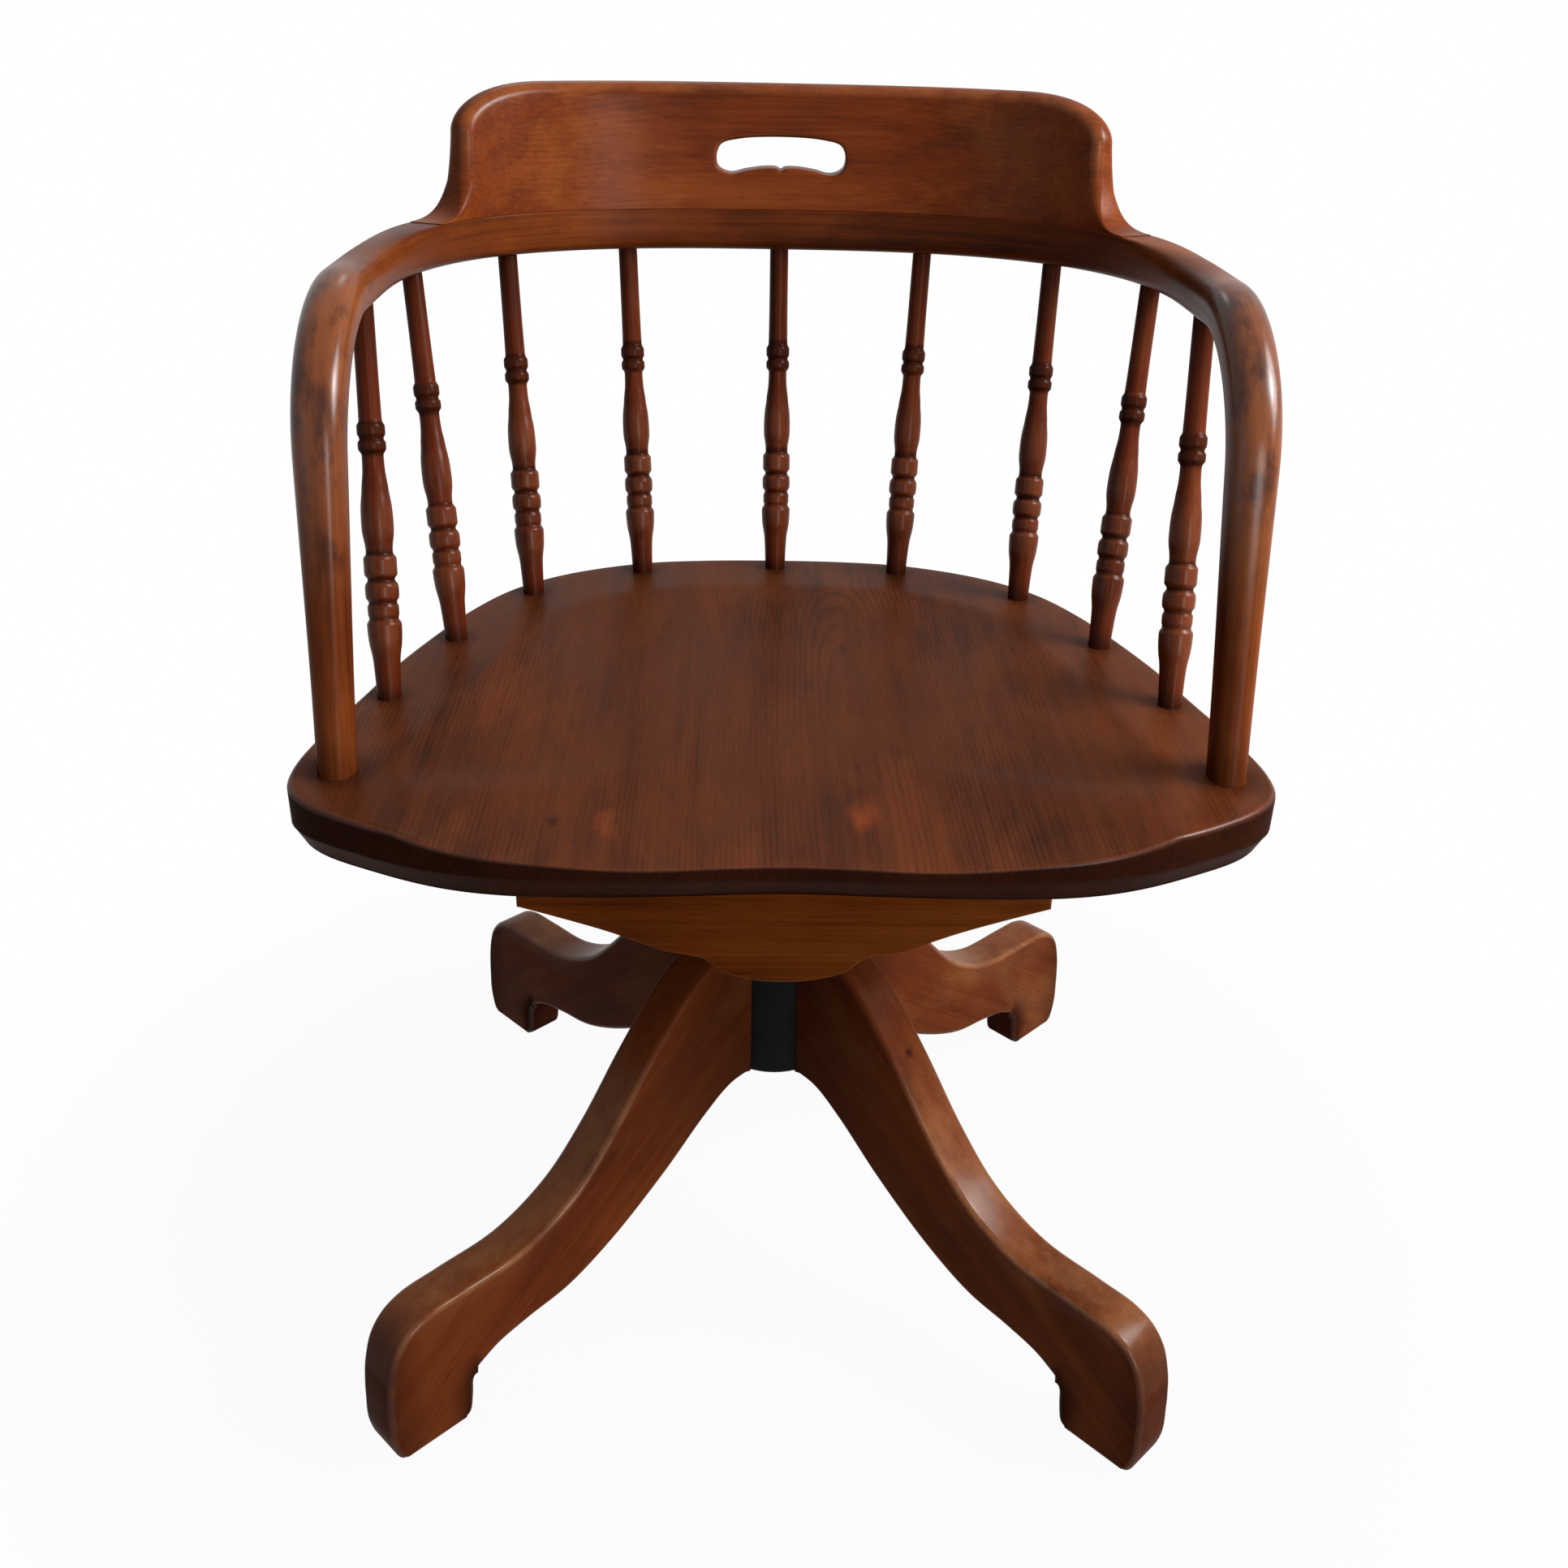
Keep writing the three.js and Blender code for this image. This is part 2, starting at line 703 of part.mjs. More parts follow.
const bearerTop = seatUnderside - fitGap;
const frontBearerPlace = -seatFront + bearerSetBack;
const rearBearerPlace = seatDepth - seatFront - rearBearerSetBack;
const sideBearerFront = frontBearerPlace + bearerThickness + fitGap;
const sideBearerBack = rearBearerPlace - fitGap;
const sideBearerUnder = bearerTop - sideBearerDepth;

function crossBearerSolid() {
  const outline = new THREE.Shape();
  const fall = bearerDepth - bearerEndDepth;
  const under = (shares, side) => shares.map(([across, down]) =>
    new THREE.Vector2(side * across * bearerHalfLength, -bearerEndDepth - down * fall));
  outline.moveTo(-bearerHalfLength, 0);
  outline.lineTo(-bearerHalfLength, -bearerEndDepth);
  outline.splineThru(under(bearerShares, -1));
  outline.splineThru([...under(bearerShares.slice(0, -1), 1).reverse(),
    new THREE.Vector2(bearerHalfLength, -bearerEndDepth)]);
  outline.lineTo(bearerHalfLength, 0);
  outline.closePath();
  const board = new THREE.ExtrudeGeometry(outline,
    { depth: bearerThickness, bevelEnabled: false, curveSegments: 2 });
  return board.rotateX(Math.PI / 2).translate(0, bearerThickness, 0);
}

// Screw that goes up through a bearer into the seat, its head's seat at a height above the floor
function bearerScrew(name, x, y, seatOfHead) {
  const length = seatUnderside + woodScrewBite - seatOfHead;
  const screw = piece(name, headedShank(woodScrewHeadRadius, woodScrewHeadHeight,
    woodScrewRadius, length), wornSteel());
  screw.position.set(x, y, seatOfHead - fitGap);
  return screw;
}

function screwHole(x, y, low, high, radius, sides = holeSides) {
  return barBetween(new THREE.Vector3(x, y, low), new THREE.Vector3(x, y, high), radius, sides);
}

const crossScrewSeat = bearerTop - bearerEndDepth - bearerCounterbore
  + woodScrewHeadHeight + fitGap * 2;
const sideScrewSeat = sideBearerUnder + woodScrewHeadHeight + fitGap * 2;
const screwHoleTop = seatUnderside + woodScrewBite + fitGap;
const screwBore = bore(woodScrewRadius);
const headBore = bore(woodScrewHeadRadius);

const crossScrewPlaces = [];
for (const [row, y] of [["front", frontBearerPlace], ["rear", rearBearerPlace]]) {
  for (const [hand, side] of [["left", -1], ["right", 1]]) {
    crossScrewPlaces.push({ name: `${row}_bearer_screw_${hand}`, row,
      x: side * bearerScrewPlace, y: y + bearerThickness / 2 });
  }
}

const sideScrewPlaces = [];
for (const [hand, side] of [["left", -1], ["right", 1]]) {
  for (const [row, y] of [["front", sideBearerFront + sideScrewInset],
    ["rear", sideBearerBack - sideScrewInset]]) {
    sideScrewPlaces.push({ name: `side_bearer_screw_${hand}_${row}`, hand,
      x: side * sideBearerPlace, y });
  }
}

const plateScrewPlaces = [];
for (const [hand, side] of [["left", -1], ["right", 1]]) {
  for (const [row, way] of [["front", -1], ["rear", 1]]) {
    plateScrewPlaces.push({ name: `plate_screw_${hand}_${row}`, hand,
      x: side * sideBearerPlace, y: way * plateReach });
  }
}

const plateTop = sideBearerUnder - fitGap;
const plateUnder = plateTop - plateThickness;

function crossBearer(row, place) {
  const tools = [];
  for (const spot of crossScrewPlaces.filter((entry) => entry.row === row)) {
    tools.push(screwHole(spot.x, spot.y, seatUnderside - bearerDepth - cutOverrun,
      crossScrewSeat, headBore));
    tools.push(screwHole(spot.x, spot.y, crossScrewSeat - fitGap, seatUnderside + cutOverrun,
      screwBore));
  }
  return cut(crossBearerSolid().translate(0, place, bearerTop), tools);
}

function sideBearer(hand, side) {
  const bar = new THREE.BoxGeometry(sideBearerWidth, sideBearerBack - sideBearerFront,
    sideBearerDepth);
  bar.translate(side * sideBearerPlace, (sideBearerFront + sideBearerBack) / 2,
    bearerTop - sideBearerDepth / 2);
  const tools = [];
  for (const spot of sideScrewPlaces.filter((entry) => entry.hand === hand)) {
    tools.push(screwHole(spot.x, spot.y, sideBearerUnder - cutOverrun, sideScrewSeat, headBore));
    tools.push(screwHole(spot.x, spot.y, sideScrewSeat - fitGap, seatUnderside + cutOverrun,
      screwBore));
  }
  for (const spot of plateScrewPlaces.filter((entry) => entry.hand === hand)) {
    tools.push(screwHole(spot.x, spot.y, sideBearerUnder - cutOverrun,
      plateTop + plateScrewBite + fitGap * 2, screwBore));
  }
  return cut(bar, tools);
}

// Iron seat plate: four lobes under the side bearers and a boss over the swivel pin

const bossUnder = plateUnder - plateBossDrop;

function seatPlateSolid() {
  const outline = new THREE.Shape();
  const lobes = [[1, 1, 0], [-1, 1, Math.PI / 2], [-1, -1, Math.PI], [1, -1, 3 * Math.PI / 2]];
  outline.moveTo(sideBearerPlace + plateLobeRadius, plateReach);
  for (const [sideX, sideY, start] of lobes) {
    outline.absarc(sideX * sideBearerPlace, sideY * plateReach, plateLobeRadius,
      start, start + Math.PI / 2, false);
    const along = start % Math.PI === 0;
    outline.quadraticCurveTo(along ? 0 : sideX * plateWaist, along ? sideY * plateWaist : 0,
      along ? -sideX * sideBearerPlace : sideX * (sideBearerPlace + plateLobeRadius),
      along ? sideY * (plateReach + plateLobeRadius) : -sideY * plateReach);
  }
  const plate = new THREE.ExtrudeGeometry(outline,
    { depth: plateThickness, bevelEnabled: false, curveSegments: 5 });
  plate.translate(0, 0, plateUnder);
  const boss = turned([[0, bossUnder], [plateBossRadius - plateThickness / 2, bossUnder],
    [plateBossRadius, bossUnder + plateThickness], [plateBossRadius, plateUnder + fitGap],
    [0, plateUnder + fitGap]]);
  const tools = [screwHole(0, 0, bossUnder - cutOverrun, plateTop + cutOverrun,
    bore(pinRadius, roundSides), roundSides)];
  for (const spot of plateScrewPlaces) {
    tools.push(screwHole(spot.x, spot.y, plateUnder - cutOverrun, plateTop + cutOverrun,
      screwBore));
  }
  return cut(join(plate, boss), tools);
}

// Heights of the stack from the seat plate down to the hub's lower end
const bearingHigh = bossUnder - fitGap;
const bearingLow = bearingHigh - bearingHeight;
const collarHigh = bearingLow - fitGap;
const collarLow = collarHigh - collarHeight;
const wheelHigh = collarLow - wheelClearance;
const wheelLow = wheelHigh - wheelHeight;
const washerHigh = wheelLow - fitGap;
const washerLow = washerHigh - washerHeight;
const hubTop = washerLow - fitGap;
const legTop = hubTop - hubAboveLegs;
const hubBottom = legTop * legUnderShares[legUnderShares.length - 1][1];
const screwLow = hubBottom + screwBottomGap;
const pinHigh = plateTop + pinAbovePlate;
const keyHeight = hubTop - hubCollarHeight / 2;

function liftScrewSolid() {
  const root = screwRadius - threadDepth;
  const profile = [[0, screwLow], [root, screwLow], [screwRadius, screwLow + threadDepth]];
  const turns = Math.ceil((heightTravel + wheelHeight + wheelClearance) / screwPitch);
  for (let turn = turns; turn >= 0; turn -= 1) {
    const high = collarLow - turn * screwPitch;
    profile.push([screwRadius, high - screwPitch / 2], [root, high]);
  }
  profile.push([collarRadius, collarLow], [collarRadius, collarHigh],
    [pinRadius, collarHigh], [pinRadius, pinHigh - threadDepth],
    [pinRadius - threadDepth, pinHigh], [0, pinHigh]);
  const slotLow = keyHeight - heightTravel - keyScrewRadius - keySlotSpare;
  const slotHigh = keyHeight + keyScrewRadius + keySlotSpare;
  const slot = new THREE.BoxGeometry(2 * (keyScrewRadius + fitGap), keyDepth + screwRadius,
    slotHigh - slotLow);
  slot.translate(0, screwRadius - keyDepth + (keyDepth + screwRadius) / 2,
    (slotLow + slotHigh) / 2);
  return cut(turned(profile, screwSides), [slot]);
}

function handWheelSolid() {
  const outline = new THREE.Shape();
  const steps = wheelLobes * stepsPerLobe;
  for (let step = 0; step < steps; step += 1) {
    const angle = (step / steps) * 2 * Math.PI;
    const reach = wheelRadius - wheelLobeDepth * (1 - Math.cos(angle * wheelLobes)) / 2;
    const x = reach * Math.cos(angle);
    const y = reach * Math.sin(angle);
    if (step === 0) {
      outline.moveTo(x, y);
    } else {
      outline.lineTo(x, y);
    }
  }
  const bevel = wheelLobeDepth / 2;
  const wheel = new THREE.ExtrudeGeometry(outline, { depth: wheelHeight - 2 * bevel,
    bevelEnabled: true, bevelSize: bevel, bevelThickness: bevel, bevelOffset: -bevel,
    bevelSegments: 1, curveSegments: 1 });
  wheel.translate(0, 0, wheelLow + bevel);
  return cut(wheel, [screwHole(0, 0, wheelLow - cutOverrun, wheelHigh + cutOverrun,
    bore(screwRadius, roundSides), roundSides)]);
}

function pinNutSolid(low) {
  const nut = new THREE.CylinderGeometry(pinNutRadius, pinNutRadius, pinNutHeight, nutSides);
  nut.rotateX(Math.PI / 2).translate(0, 0, low + pinNutHeight / 2);
  return cut(nut, [screwHole(0, 0, low - cutOverrun, low + pinNutHeight + cutOverrun,
    bore(pinRadius, roundSides), roundSides)]);
}

// Base: hub, bushes, legs and their bolts

const hubInner = hubRadius - hubWall;
const bushInner = screwRadius + fitGap;
const bushOuter = bushInner + bushWall;

const legNames = ["rear_right", "rear_left", "front_left", "front_right"];
const legAngles = legNames.map((_, index) => Math.PI / 4 + index * Math.PI / 2);
const boltHeights = [["lower", boltLowerShare], ["upper", boltUpperShare]]
  .map(([level, share]) => [level, THREE.MathUtils.lerp(hubBottom, legTop, share)]);
const hubFlat = hubInner * Math.cos(Math.PI / roundSides);
const boltSeat = Math.sqrt(hubFlat ** 2 - boltHeadRadius ** 2) - fitGap;

const keyLine = (from, to, radius) => barBetween(new THREE.Vector3(0, from, keyHeight),
  new THREE.Vector3(0, to, keyHeight), radius);

function hubSolid() {
  const collarLowEdge = hubTop - hubCollarHeight;
  const profile = [[bushOuter + fitGap, collarLowEdge], [hubInner, collarLowEdge],
    [hubInner, hubBottom], [hubRadius, hubBottom], [hubRadius, hubTop],
    [bushOuter + fitGap, hubTop], [bushOuter + fitGap, collarLowEdge]];
  const tools = [keyLine(0, hubRadius + cutOverrun, bore(keyScrewRadius))];
  for (const angle of legAngles) {
    for (const [, height] of boltHeights) {
      const way = new THREE.Vector3(Math.cos(angle), Math.sin(angle), 0);
      const from = way.clone().multiplyScalar(hubInner - cutOverrun).setZ(height);
      const to = way.clone().multiplyScalar(hubRadius + cutOverrun).setZ(height);
      tools.push(barBetween(from, to, bore(boltRadius)));
    }
  }
  return cut(turned(profile), tools);
}

function bushSolid() {
  const ring = turnedRing(bushInner, bushOuter, hubTop - bushHeight, hubTop, roundSides);
  return cut(ring, [keyLine(0, bushOuter + cutOverrun, bore(keyScrewRadius))]);
}

function guideSolid() {
  const outer = hubInner - fitGap;
  const low = hubBottom;
  const lip = guideHeight / 2;
  return turned([[bushInner, low], [outer, low], [outer, low + lip], [guideBossRadius, low + lip],
    [guideBossRadius, low + guideHeight], [bushInner, low + guideHeight], [bushInner, low]]);
}

function keyScrewSolid() {
  const tip = screwRadius - keyDepth + fitGap * 2;
  const headSeat = hubRadius + fitGap;
  return headedShank(keyScrewHeadRadius, keyScrewHeadHeight, keyScrewRadius, headSeat - tip)
    .rotateX(Math.PI / 2).translate(0, headSeat, keyHeight);
}

// A leg lies along +X from the hub, its middle plane through the axis
function legSolid() {
  const at = ([out, up]) => new THREE.Vector2(out * legReach, up * legTop);
  const outline = new THREE.Shape();
  outline.moveTo(hubRadius - legBite, legTop);
  outline.splineThru(legUpperShares.map(at));
  [...legEndShares, ...legHeelShares].map(at)
    .forEach((point) => outline.lineTo(point.x, point.y));
  outline.splineThru(legUnderShares.map(at));
  outline.lineTo(hubRadius - legBite, hubBottom);
  const bevel = legEdgeBevel;
  const plank = new THREE.ExtrudeGeometry(outline, { depth: legThickness - 2 * bevel,
    bevelEnabled: true, bevelSize: bevel, bevelThickness: bevel, bevelOffset: -bevel,
    bevelSegments: 1, curveSegments: 2 });
  plank.rotateX(Math.PI / 2).translate(0, legThickness / 2 - bevel, 0);
  const socket = bore(hubRadius, roundSides);
  const socketTop = legTop + cutOverrun;
  const tools = [turned([[0, 0], [socket, 0], [socket, socketTop], [0, socketTop]])];
  for (const [, height] of boltHeights) {
    tools.push(barBetween(new THREE.Vector3(hubRadius - legBite, 0, height),
      new THREE.Vector3(hubRadius + boltReach + fitGap, 0, height), bore(boltRadius)));
  }
  return cut(plank, tools);
}

function legBoltSolid(height) {
  return headedShank(boltHeadRadius, boltHeadHeight, boltRadius, hubRadius + boltReach - boltSeat)
    .rotateY(Math.PI / 2).translate(boltSeat, 0, height);
}

// Assembly

const chair = new THREE.Group();

const base = new THREE.Group();
base.rotation.z = baseTurn;
base.add(piece("hub_casting", hubSolid(), blackIron()));
base.add(piece("upper_bush", bushSolid(), brassMetal()));
base.add(piece("lower_guide", guideSolid(), blackIron()));
base.add(piece("key_screw", keyScrewSolid(), wornSteel()));
legNames.forEach((name, index) => {
  const arm = new THREE.Group();
  arm.rotation.z = legAngles[index];
  arm.add(piece(`leg_${name}`, legSolid(), legWood()));
  for (const [level, height] of boltHeights) {
    arm.add(piece(`leg_bolt_${name}_${level}`, legBoltSolid(height), wornSteel()));
  }
  base.add(arm);
});
base.add(piece("wheel_washer", turnedRing(bushInner, washerRadius, washerLow, washerHigh),
  brassMetal()));
base.add(piece("hand_wheel", handWheelSolid(), blackIron()));
base.add(piece("lift_screw", liftScrewSolid(), wornSteel()));
chair.add(base);

const upper = new THREE.Group();
upper.add(piece("thrust_bearing", turnedRing(pinRadius + fitGap, bearingRadius, bearingLow,
  bearingHigh), brassMetal()));
upper.add(piece("seat_plate", seatPlateSolid(), blackIron()));
const pinWasherLow = plateTop + fitGap;
upper.add(piece("pin_washer", turnedRing(pinRadius + fitGap, pinWasherRadius, pinWasherLow,
  pinWasherLow + washerHeight), wornSteel()));
upper.add(piece("pin_nut", pinNutSolid(pinWasherLow + washerHeight + fitGap), wornSteel()));
for (const { name, x, y } of plateScrewPlaces) {
  const screw = piece(name, headedShank(woodScrewHeadRadius, woodScrewHeadHeight,
    woodScrewRadius, plateThickness + plateScrewBite), wornSteel());
  screw.position.set(x, y, plateUnder - fitGap);
  upper.add(screw);
}
upper.add(piece("front_bearer", crossBearer("front", frontBearerPlace), bearerWood()));
upper.add(piece("rear_bearer", crossBearer("rear", rearBearerPlace), bearerWood()));
upper.add(piece("side_bearer_left", sideBearer("left", -1), bearerWood()));
upper.add(piece("side_bearer_right", sideBearer("right", 1), bearerWood()));
for (const { name, x, y } of crossScrewPlaces) {
  upper.add(bearerScrew(name, x, y, crossScrewSeat));
}
for (const { name, x, y } of sideScrewPlaces) {
  upper.add(bearerScrew(name, x, y, sideScrewSeat));
}

const seatTools = [];
for (const { x, y } of [...crossScrewPlaces, ...sideScrewPlaces]) {
  seatTools.push(screwHole(x, y, seatUnderside - cutOverrun, screwHoleTop, screwBore));
}
for (const line of spindleLines) {
  seatTools.push(spindleHole(line, "foot"));
}
for (const side of [-1, 1]) {
  seatTools.push(armTenon(side, armTenonRadius + fitGap, armTenonDepth + fitGap));
}
upper.add(piece("seat", cut(seatSolid(), seatTools), seatWood()));

spindleLines.forEach(({ base: foot, top: head }, index) => {
  const along = new THREE.Vector3().subVectors(head, foot);
  const spindle = piece(`spindle_${index + 1}`, spindleSolid(along.length()), spindleWood());
  spindle.position.copy(foot);
  spindle.quaternion.setFromUnitVectors(new THREE.Vector3(0, 0, 1), along.normalize());
  upper.add(spindle);
});

const bowWithTenons = join(bowSolid(), armTenon(-1, armTenonRadius, armTenonDepth),
  armTenon(1, armTenonRadius, armTenonDepth));
upper.add(piece("arm_bow", cut(bowWithTenons,
  [...spindleLines.map((line) => spindleHole(line, "head")), ...dowelHoles()]), bowWood()));
upper.add(piece("crest_rail", cut(crestSolid(), [handHole(), ...dowelHoles()]), crestWood()));
dowelPlaces.forEach((place, index) => {
  upper.add(piece(`crest_dowel_${index + 1}`, dowelBar(place, dowelRadius, dowelDepth),
    dowelWood()));
});
chair.add(upper);

// The chair's middle, seen from above, is over the origin
chair.updateMatrixWorld(true);
const bounds = new THREE.Box3().setFromObject(chair, true);
chair.position.x = -(bounds.min.x + bounds.max.x) / 2;
chair.position.y = -(bounds.min.y + bounds.max.y) / 2;

export default chair;
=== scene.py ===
# %% [markdown]
# # A wooden swivel desk armchair
# The chair's solids and joints come from its CAD model. This lesson loads that model as a fixed
# frame and dresses it: finer wood with eased edges, turned spindles, iron, steel and brass.
# Every size is in metres, and every piece stays where the frame says.

# %% Load the frame
import json
import math

import bmesh
import bpy
import numpy as np
from mathutils import Matrix, Vector, geometry


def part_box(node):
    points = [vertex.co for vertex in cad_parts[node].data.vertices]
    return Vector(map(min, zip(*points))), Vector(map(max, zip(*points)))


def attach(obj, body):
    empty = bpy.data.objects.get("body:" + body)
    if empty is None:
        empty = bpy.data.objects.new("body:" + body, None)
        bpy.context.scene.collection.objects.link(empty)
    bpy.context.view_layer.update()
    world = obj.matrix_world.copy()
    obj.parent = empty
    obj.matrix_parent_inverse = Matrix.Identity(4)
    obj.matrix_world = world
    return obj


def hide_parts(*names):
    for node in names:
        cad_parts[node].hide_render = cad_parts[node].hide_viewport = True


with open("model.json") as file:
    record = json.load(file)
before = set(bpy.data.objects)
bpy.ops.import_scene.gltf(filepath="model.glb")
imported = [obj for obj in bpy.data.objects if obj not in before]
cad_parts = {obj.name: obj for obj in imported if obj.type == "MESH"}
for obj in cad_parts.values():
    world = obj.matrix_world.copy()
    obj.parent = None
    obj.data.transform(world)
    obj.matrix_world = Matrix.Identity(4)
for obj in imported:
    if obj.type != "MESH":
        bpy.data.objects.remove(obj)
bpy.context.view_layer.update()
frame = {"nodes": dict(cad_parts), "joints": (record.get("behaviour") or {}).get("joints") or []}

nodes = frame["nodes"]
print("nodes in the frame:", len(nodes))

# %% [markdown]
# ## The camera
# The photo is taken from the front, a little to the left of the chair and from about a person's
# chest height. Its place and turns were worked out from the seat, the arms and the four feet, so
# they are written as they came out: a place, three angles and a lens.

# %% Camera
CAMERA_PLACE = (-0.02779, -0.958715, 0.87122)
CAMERA_YAW = math.radians(1.906)
CAMERA_PITCH = math.radians(27.895)
CAMERA_ROLL = math.radians(1.322)
CAMERA_LENS = 35.83


def put_in_scene(name, data):
    thing = bpy.data.objects.new(name, data)
    bpy.context.scene.collection.objects.link(thing)
    return thing


camera = put_in_scene("photo_camera", bpy.data.cameras.new("photo_camera"))
camera.data.lens = CAMERA_LENS
camera.data.sensor_width = 36
camera.matrix_world = (
    Matrix.Translation(CAMERA_PLACE) @ Matrix.Rotation(-CAMERA_YAW, 4, "Z")
    @ Matrix.Rotation(math.pi / 2 - CAMERA_PITCH, 4, "X") @ Matrix.Rotation(CAMERA_ROLL, 4, "Z"))
bpy.context.scene.camera = camera
bpy.context.scene.view_settings.view_transform = "Standard"
print("camera height:", CAMERA_PLACE[2])

# %% [markdown]
# ## Small tools for node trees
# Materials and Geometry Nodes are both trees of nodes. One helper adds a node and sets its
# options; another links each input to a node's output or gives it a plain value. A few more put
# sums, vectors and ranges in one short call, so that a tree reads like a formula.


# %% Node helpers
def feed(tree, node, inputs):
    for name, value in inputs.items():
        if isinstance(value, bpy.types.NodeSocket):
            tree.links.new(value, node.inputs[name])
        else:
            node.inputs[name].default_value = value


def add_node(tree, kind, options=None, inputs=None):
    node = tree.nodes.new(kind)
    for name, value in (options or {}).items():
        setattr(node, name, value)
    feed(tree, node, inputs or {})
    return node


def calculated(tree, operation, *values):
    return add_node(tree, "ShaderNodeMath", {"operation": operation},
                    dict(enumerate(values))).outputs[0]


def times(tree, first, second):
    return calculated(tree, "MULTIPLY", first, second)


def plus(tree, total, *others):
    for other in others:
        total = calculated(tree, "ADD", total, other)
    return total


def of_vectors(tree, operation, *values):
    node = add_node(tree, "ShaderNodeVectorMath", {"operation": operation},
                    dict(enumerate(values)))
    return node.outputs["Value" if operation == "LENGTH" else "Vector"]


def combined(tree, x=0.0, y=0.0, z=0.0):
    return add_node(tree, "ShaderNodeCombineXYZ", inputs={"X": x, "Y": y, "Z": z}).outputs[0]


def remapped(tree, value, low, high, to_low=0.0, to_high=1.0, kind="LINEAR"):
    """The value's way from low to high, as the way from to_low to to_high, held at both ends."""
    return add_node(tree, "ShaderNodeMapRange", {"interpolation_type": kind}, {
        "Value": value, "From Min": low, "From Max": high, "To Min": to_low,
        "To Max": to_high}).outputs[0]


# %% [markdown]
# ## Floor, backdrop and light
# The photo's chair stands on plain white with hardly a shadow. The floor is a large pale sheet
# that the camera sees nearly as its own white, so only a faint shadow is left. The light is a
# soft sky and five soft lamps: a large window high on the right with a small bright patch in it,
# which draws the highlights on the arms and the right legs, a low window in front, a small one
# behind, and a weak fill on the left.

# %% Floor
FLOOR_HALF = 12.0
FLOOR_SINK = 0.0004
FLOOR_GREY = (0.35, 0.35, 0.35, 1)
FLOOR_SHADE = 0.05
SHADE_NEAR = 0.35
SHADE_FAR = 0.80
WHITE = (1, 1, 1, 1)
floor_mesh = bpy.data.meshes.new("floor")
floor_mesh.from_pydata([(-FLOOR_HALF, -FLOOR_HALF, 0), (FLOOR_HALF, -FLOOR_HALF, 0),
                        (FLOOR_HALF, FLOOR_HALF, 0), (-FLOOR_HALF, FLOOR_HALF, 0)],
                       [], [(0, 1, 2, 3)])
floor = put_in_scene("floor", floor_mesh)
floor.location.z = -FLOOR_SINK


def seen_directly(tree):
    """One for camera, mirror and glass rays, none for the light that bounces."""
    path = add_node(tree, "ShaderNodeLightPath").outputs
    mirror = calculated(tree, "MAXIMUM", path["Is Glossy Ray"], path["Is Transmission Ray"])
    return calculated(tree, "MAXIMUM", path["Is Camera Ray"], mirror)


def floor_finish():
    material = bpy.data.materials.new("pale_floor")
    material.use_nodes = True
    tree = material.node_tree
    tree.nodes.clear()
    matt = add_node(tree, "ShaderNodeBsdfDiffuse", inputs={"Color": FLOOR_GREY}).outputs[0]
    white = add_node(tree, "ShaderNodeEmission", inputs={"Color": WHITE}).outputs[0]
    place = add_node(tree, "ShaderNodeTexCoord").outputs["Object"]
    shade = remapped(tree, of_vectors(tree, "LENGTH", place), SHADE_NEAR, SHADE_FAR,
                     FLOOR_SHADE, 0.0, "SMOOTHSTEP")
    seen = add_node(tree, "ShaderNodeMixShader", inputs={"Fac": shade, 1: white, 2: matt})
    both = add_node(tree, "ShaderNodeMixShader", inputs={
        "Fac": seen_directly(tree), 1: matt, 2: seen.outputs[0]})
    add_node(tree, "ShaderNodeOutputMaterial", inputs={"Surface": both.outputs[0]})
    return material


floor_mesh.materials.append(floor_finish())
print("floor is", 2 * FLOOR_HALF, "m wide")

# %% Sky and lamps
SKY_LEVEL = 0.11
CHAIR_MIDDLE = Vector((0, 0, 0.45))
world = bpy.data.worlds.new("soft_white")
bpy.context.scene.world = world
world.use_nodes = True
sky_tree = world.node_tree
sky_tree.nodes.clear()
sky = add_node(sky_tree, "ShaderNodeBackground", inputs={
    "Color": WHITE,
    "Strength": remapped(sky_tree, seen_directly(sky_tree), 0.0, 1.0, SKY_LEVEL, 1.0)})
add_node(sky_tree, "ShaderNodeOutputWorld", inputs={"Surface": sky.outputs[0]})


def soft_lamp(name, place, width, height, power, shadow=True):
    data = bpy.data.lights.new(name, "AREA")
    data.shape = "RECTANGLE"
    data.size = width
    data.size_y = height
    data.energy = power
    data.use_shadow = shadow
    lamp = put_in_scene(name, data)
    lamp.location = place
    lamp.rotation_euler = (CHAIR_MIDDLE - Vector(place)).to_track_quat("-Z", "Y").to_euler()


soft_lamp("window_right", (1.85, -0.30, 1.95), 1.2, 1.2, 70)
soft_lamp("sun_patch", (1.70, -0.42, 1.98), 0.30, 0.36, 24, shadow=False)
soft_lamp("window_front", (1.05, -2.2, 0.88), 0.6, 1.4, 22)
soft_lamp("window_rear", (-0.25, 1.9, 2.40), 0.4, 0.4, 2.5)
soft_lamp("fill_left", (-1.7, -1.5, 1.2), 1.4, 1.4, 3)
print("lamps:", len(bpy.data.lights), "sky level:", SKY_LEVEL)
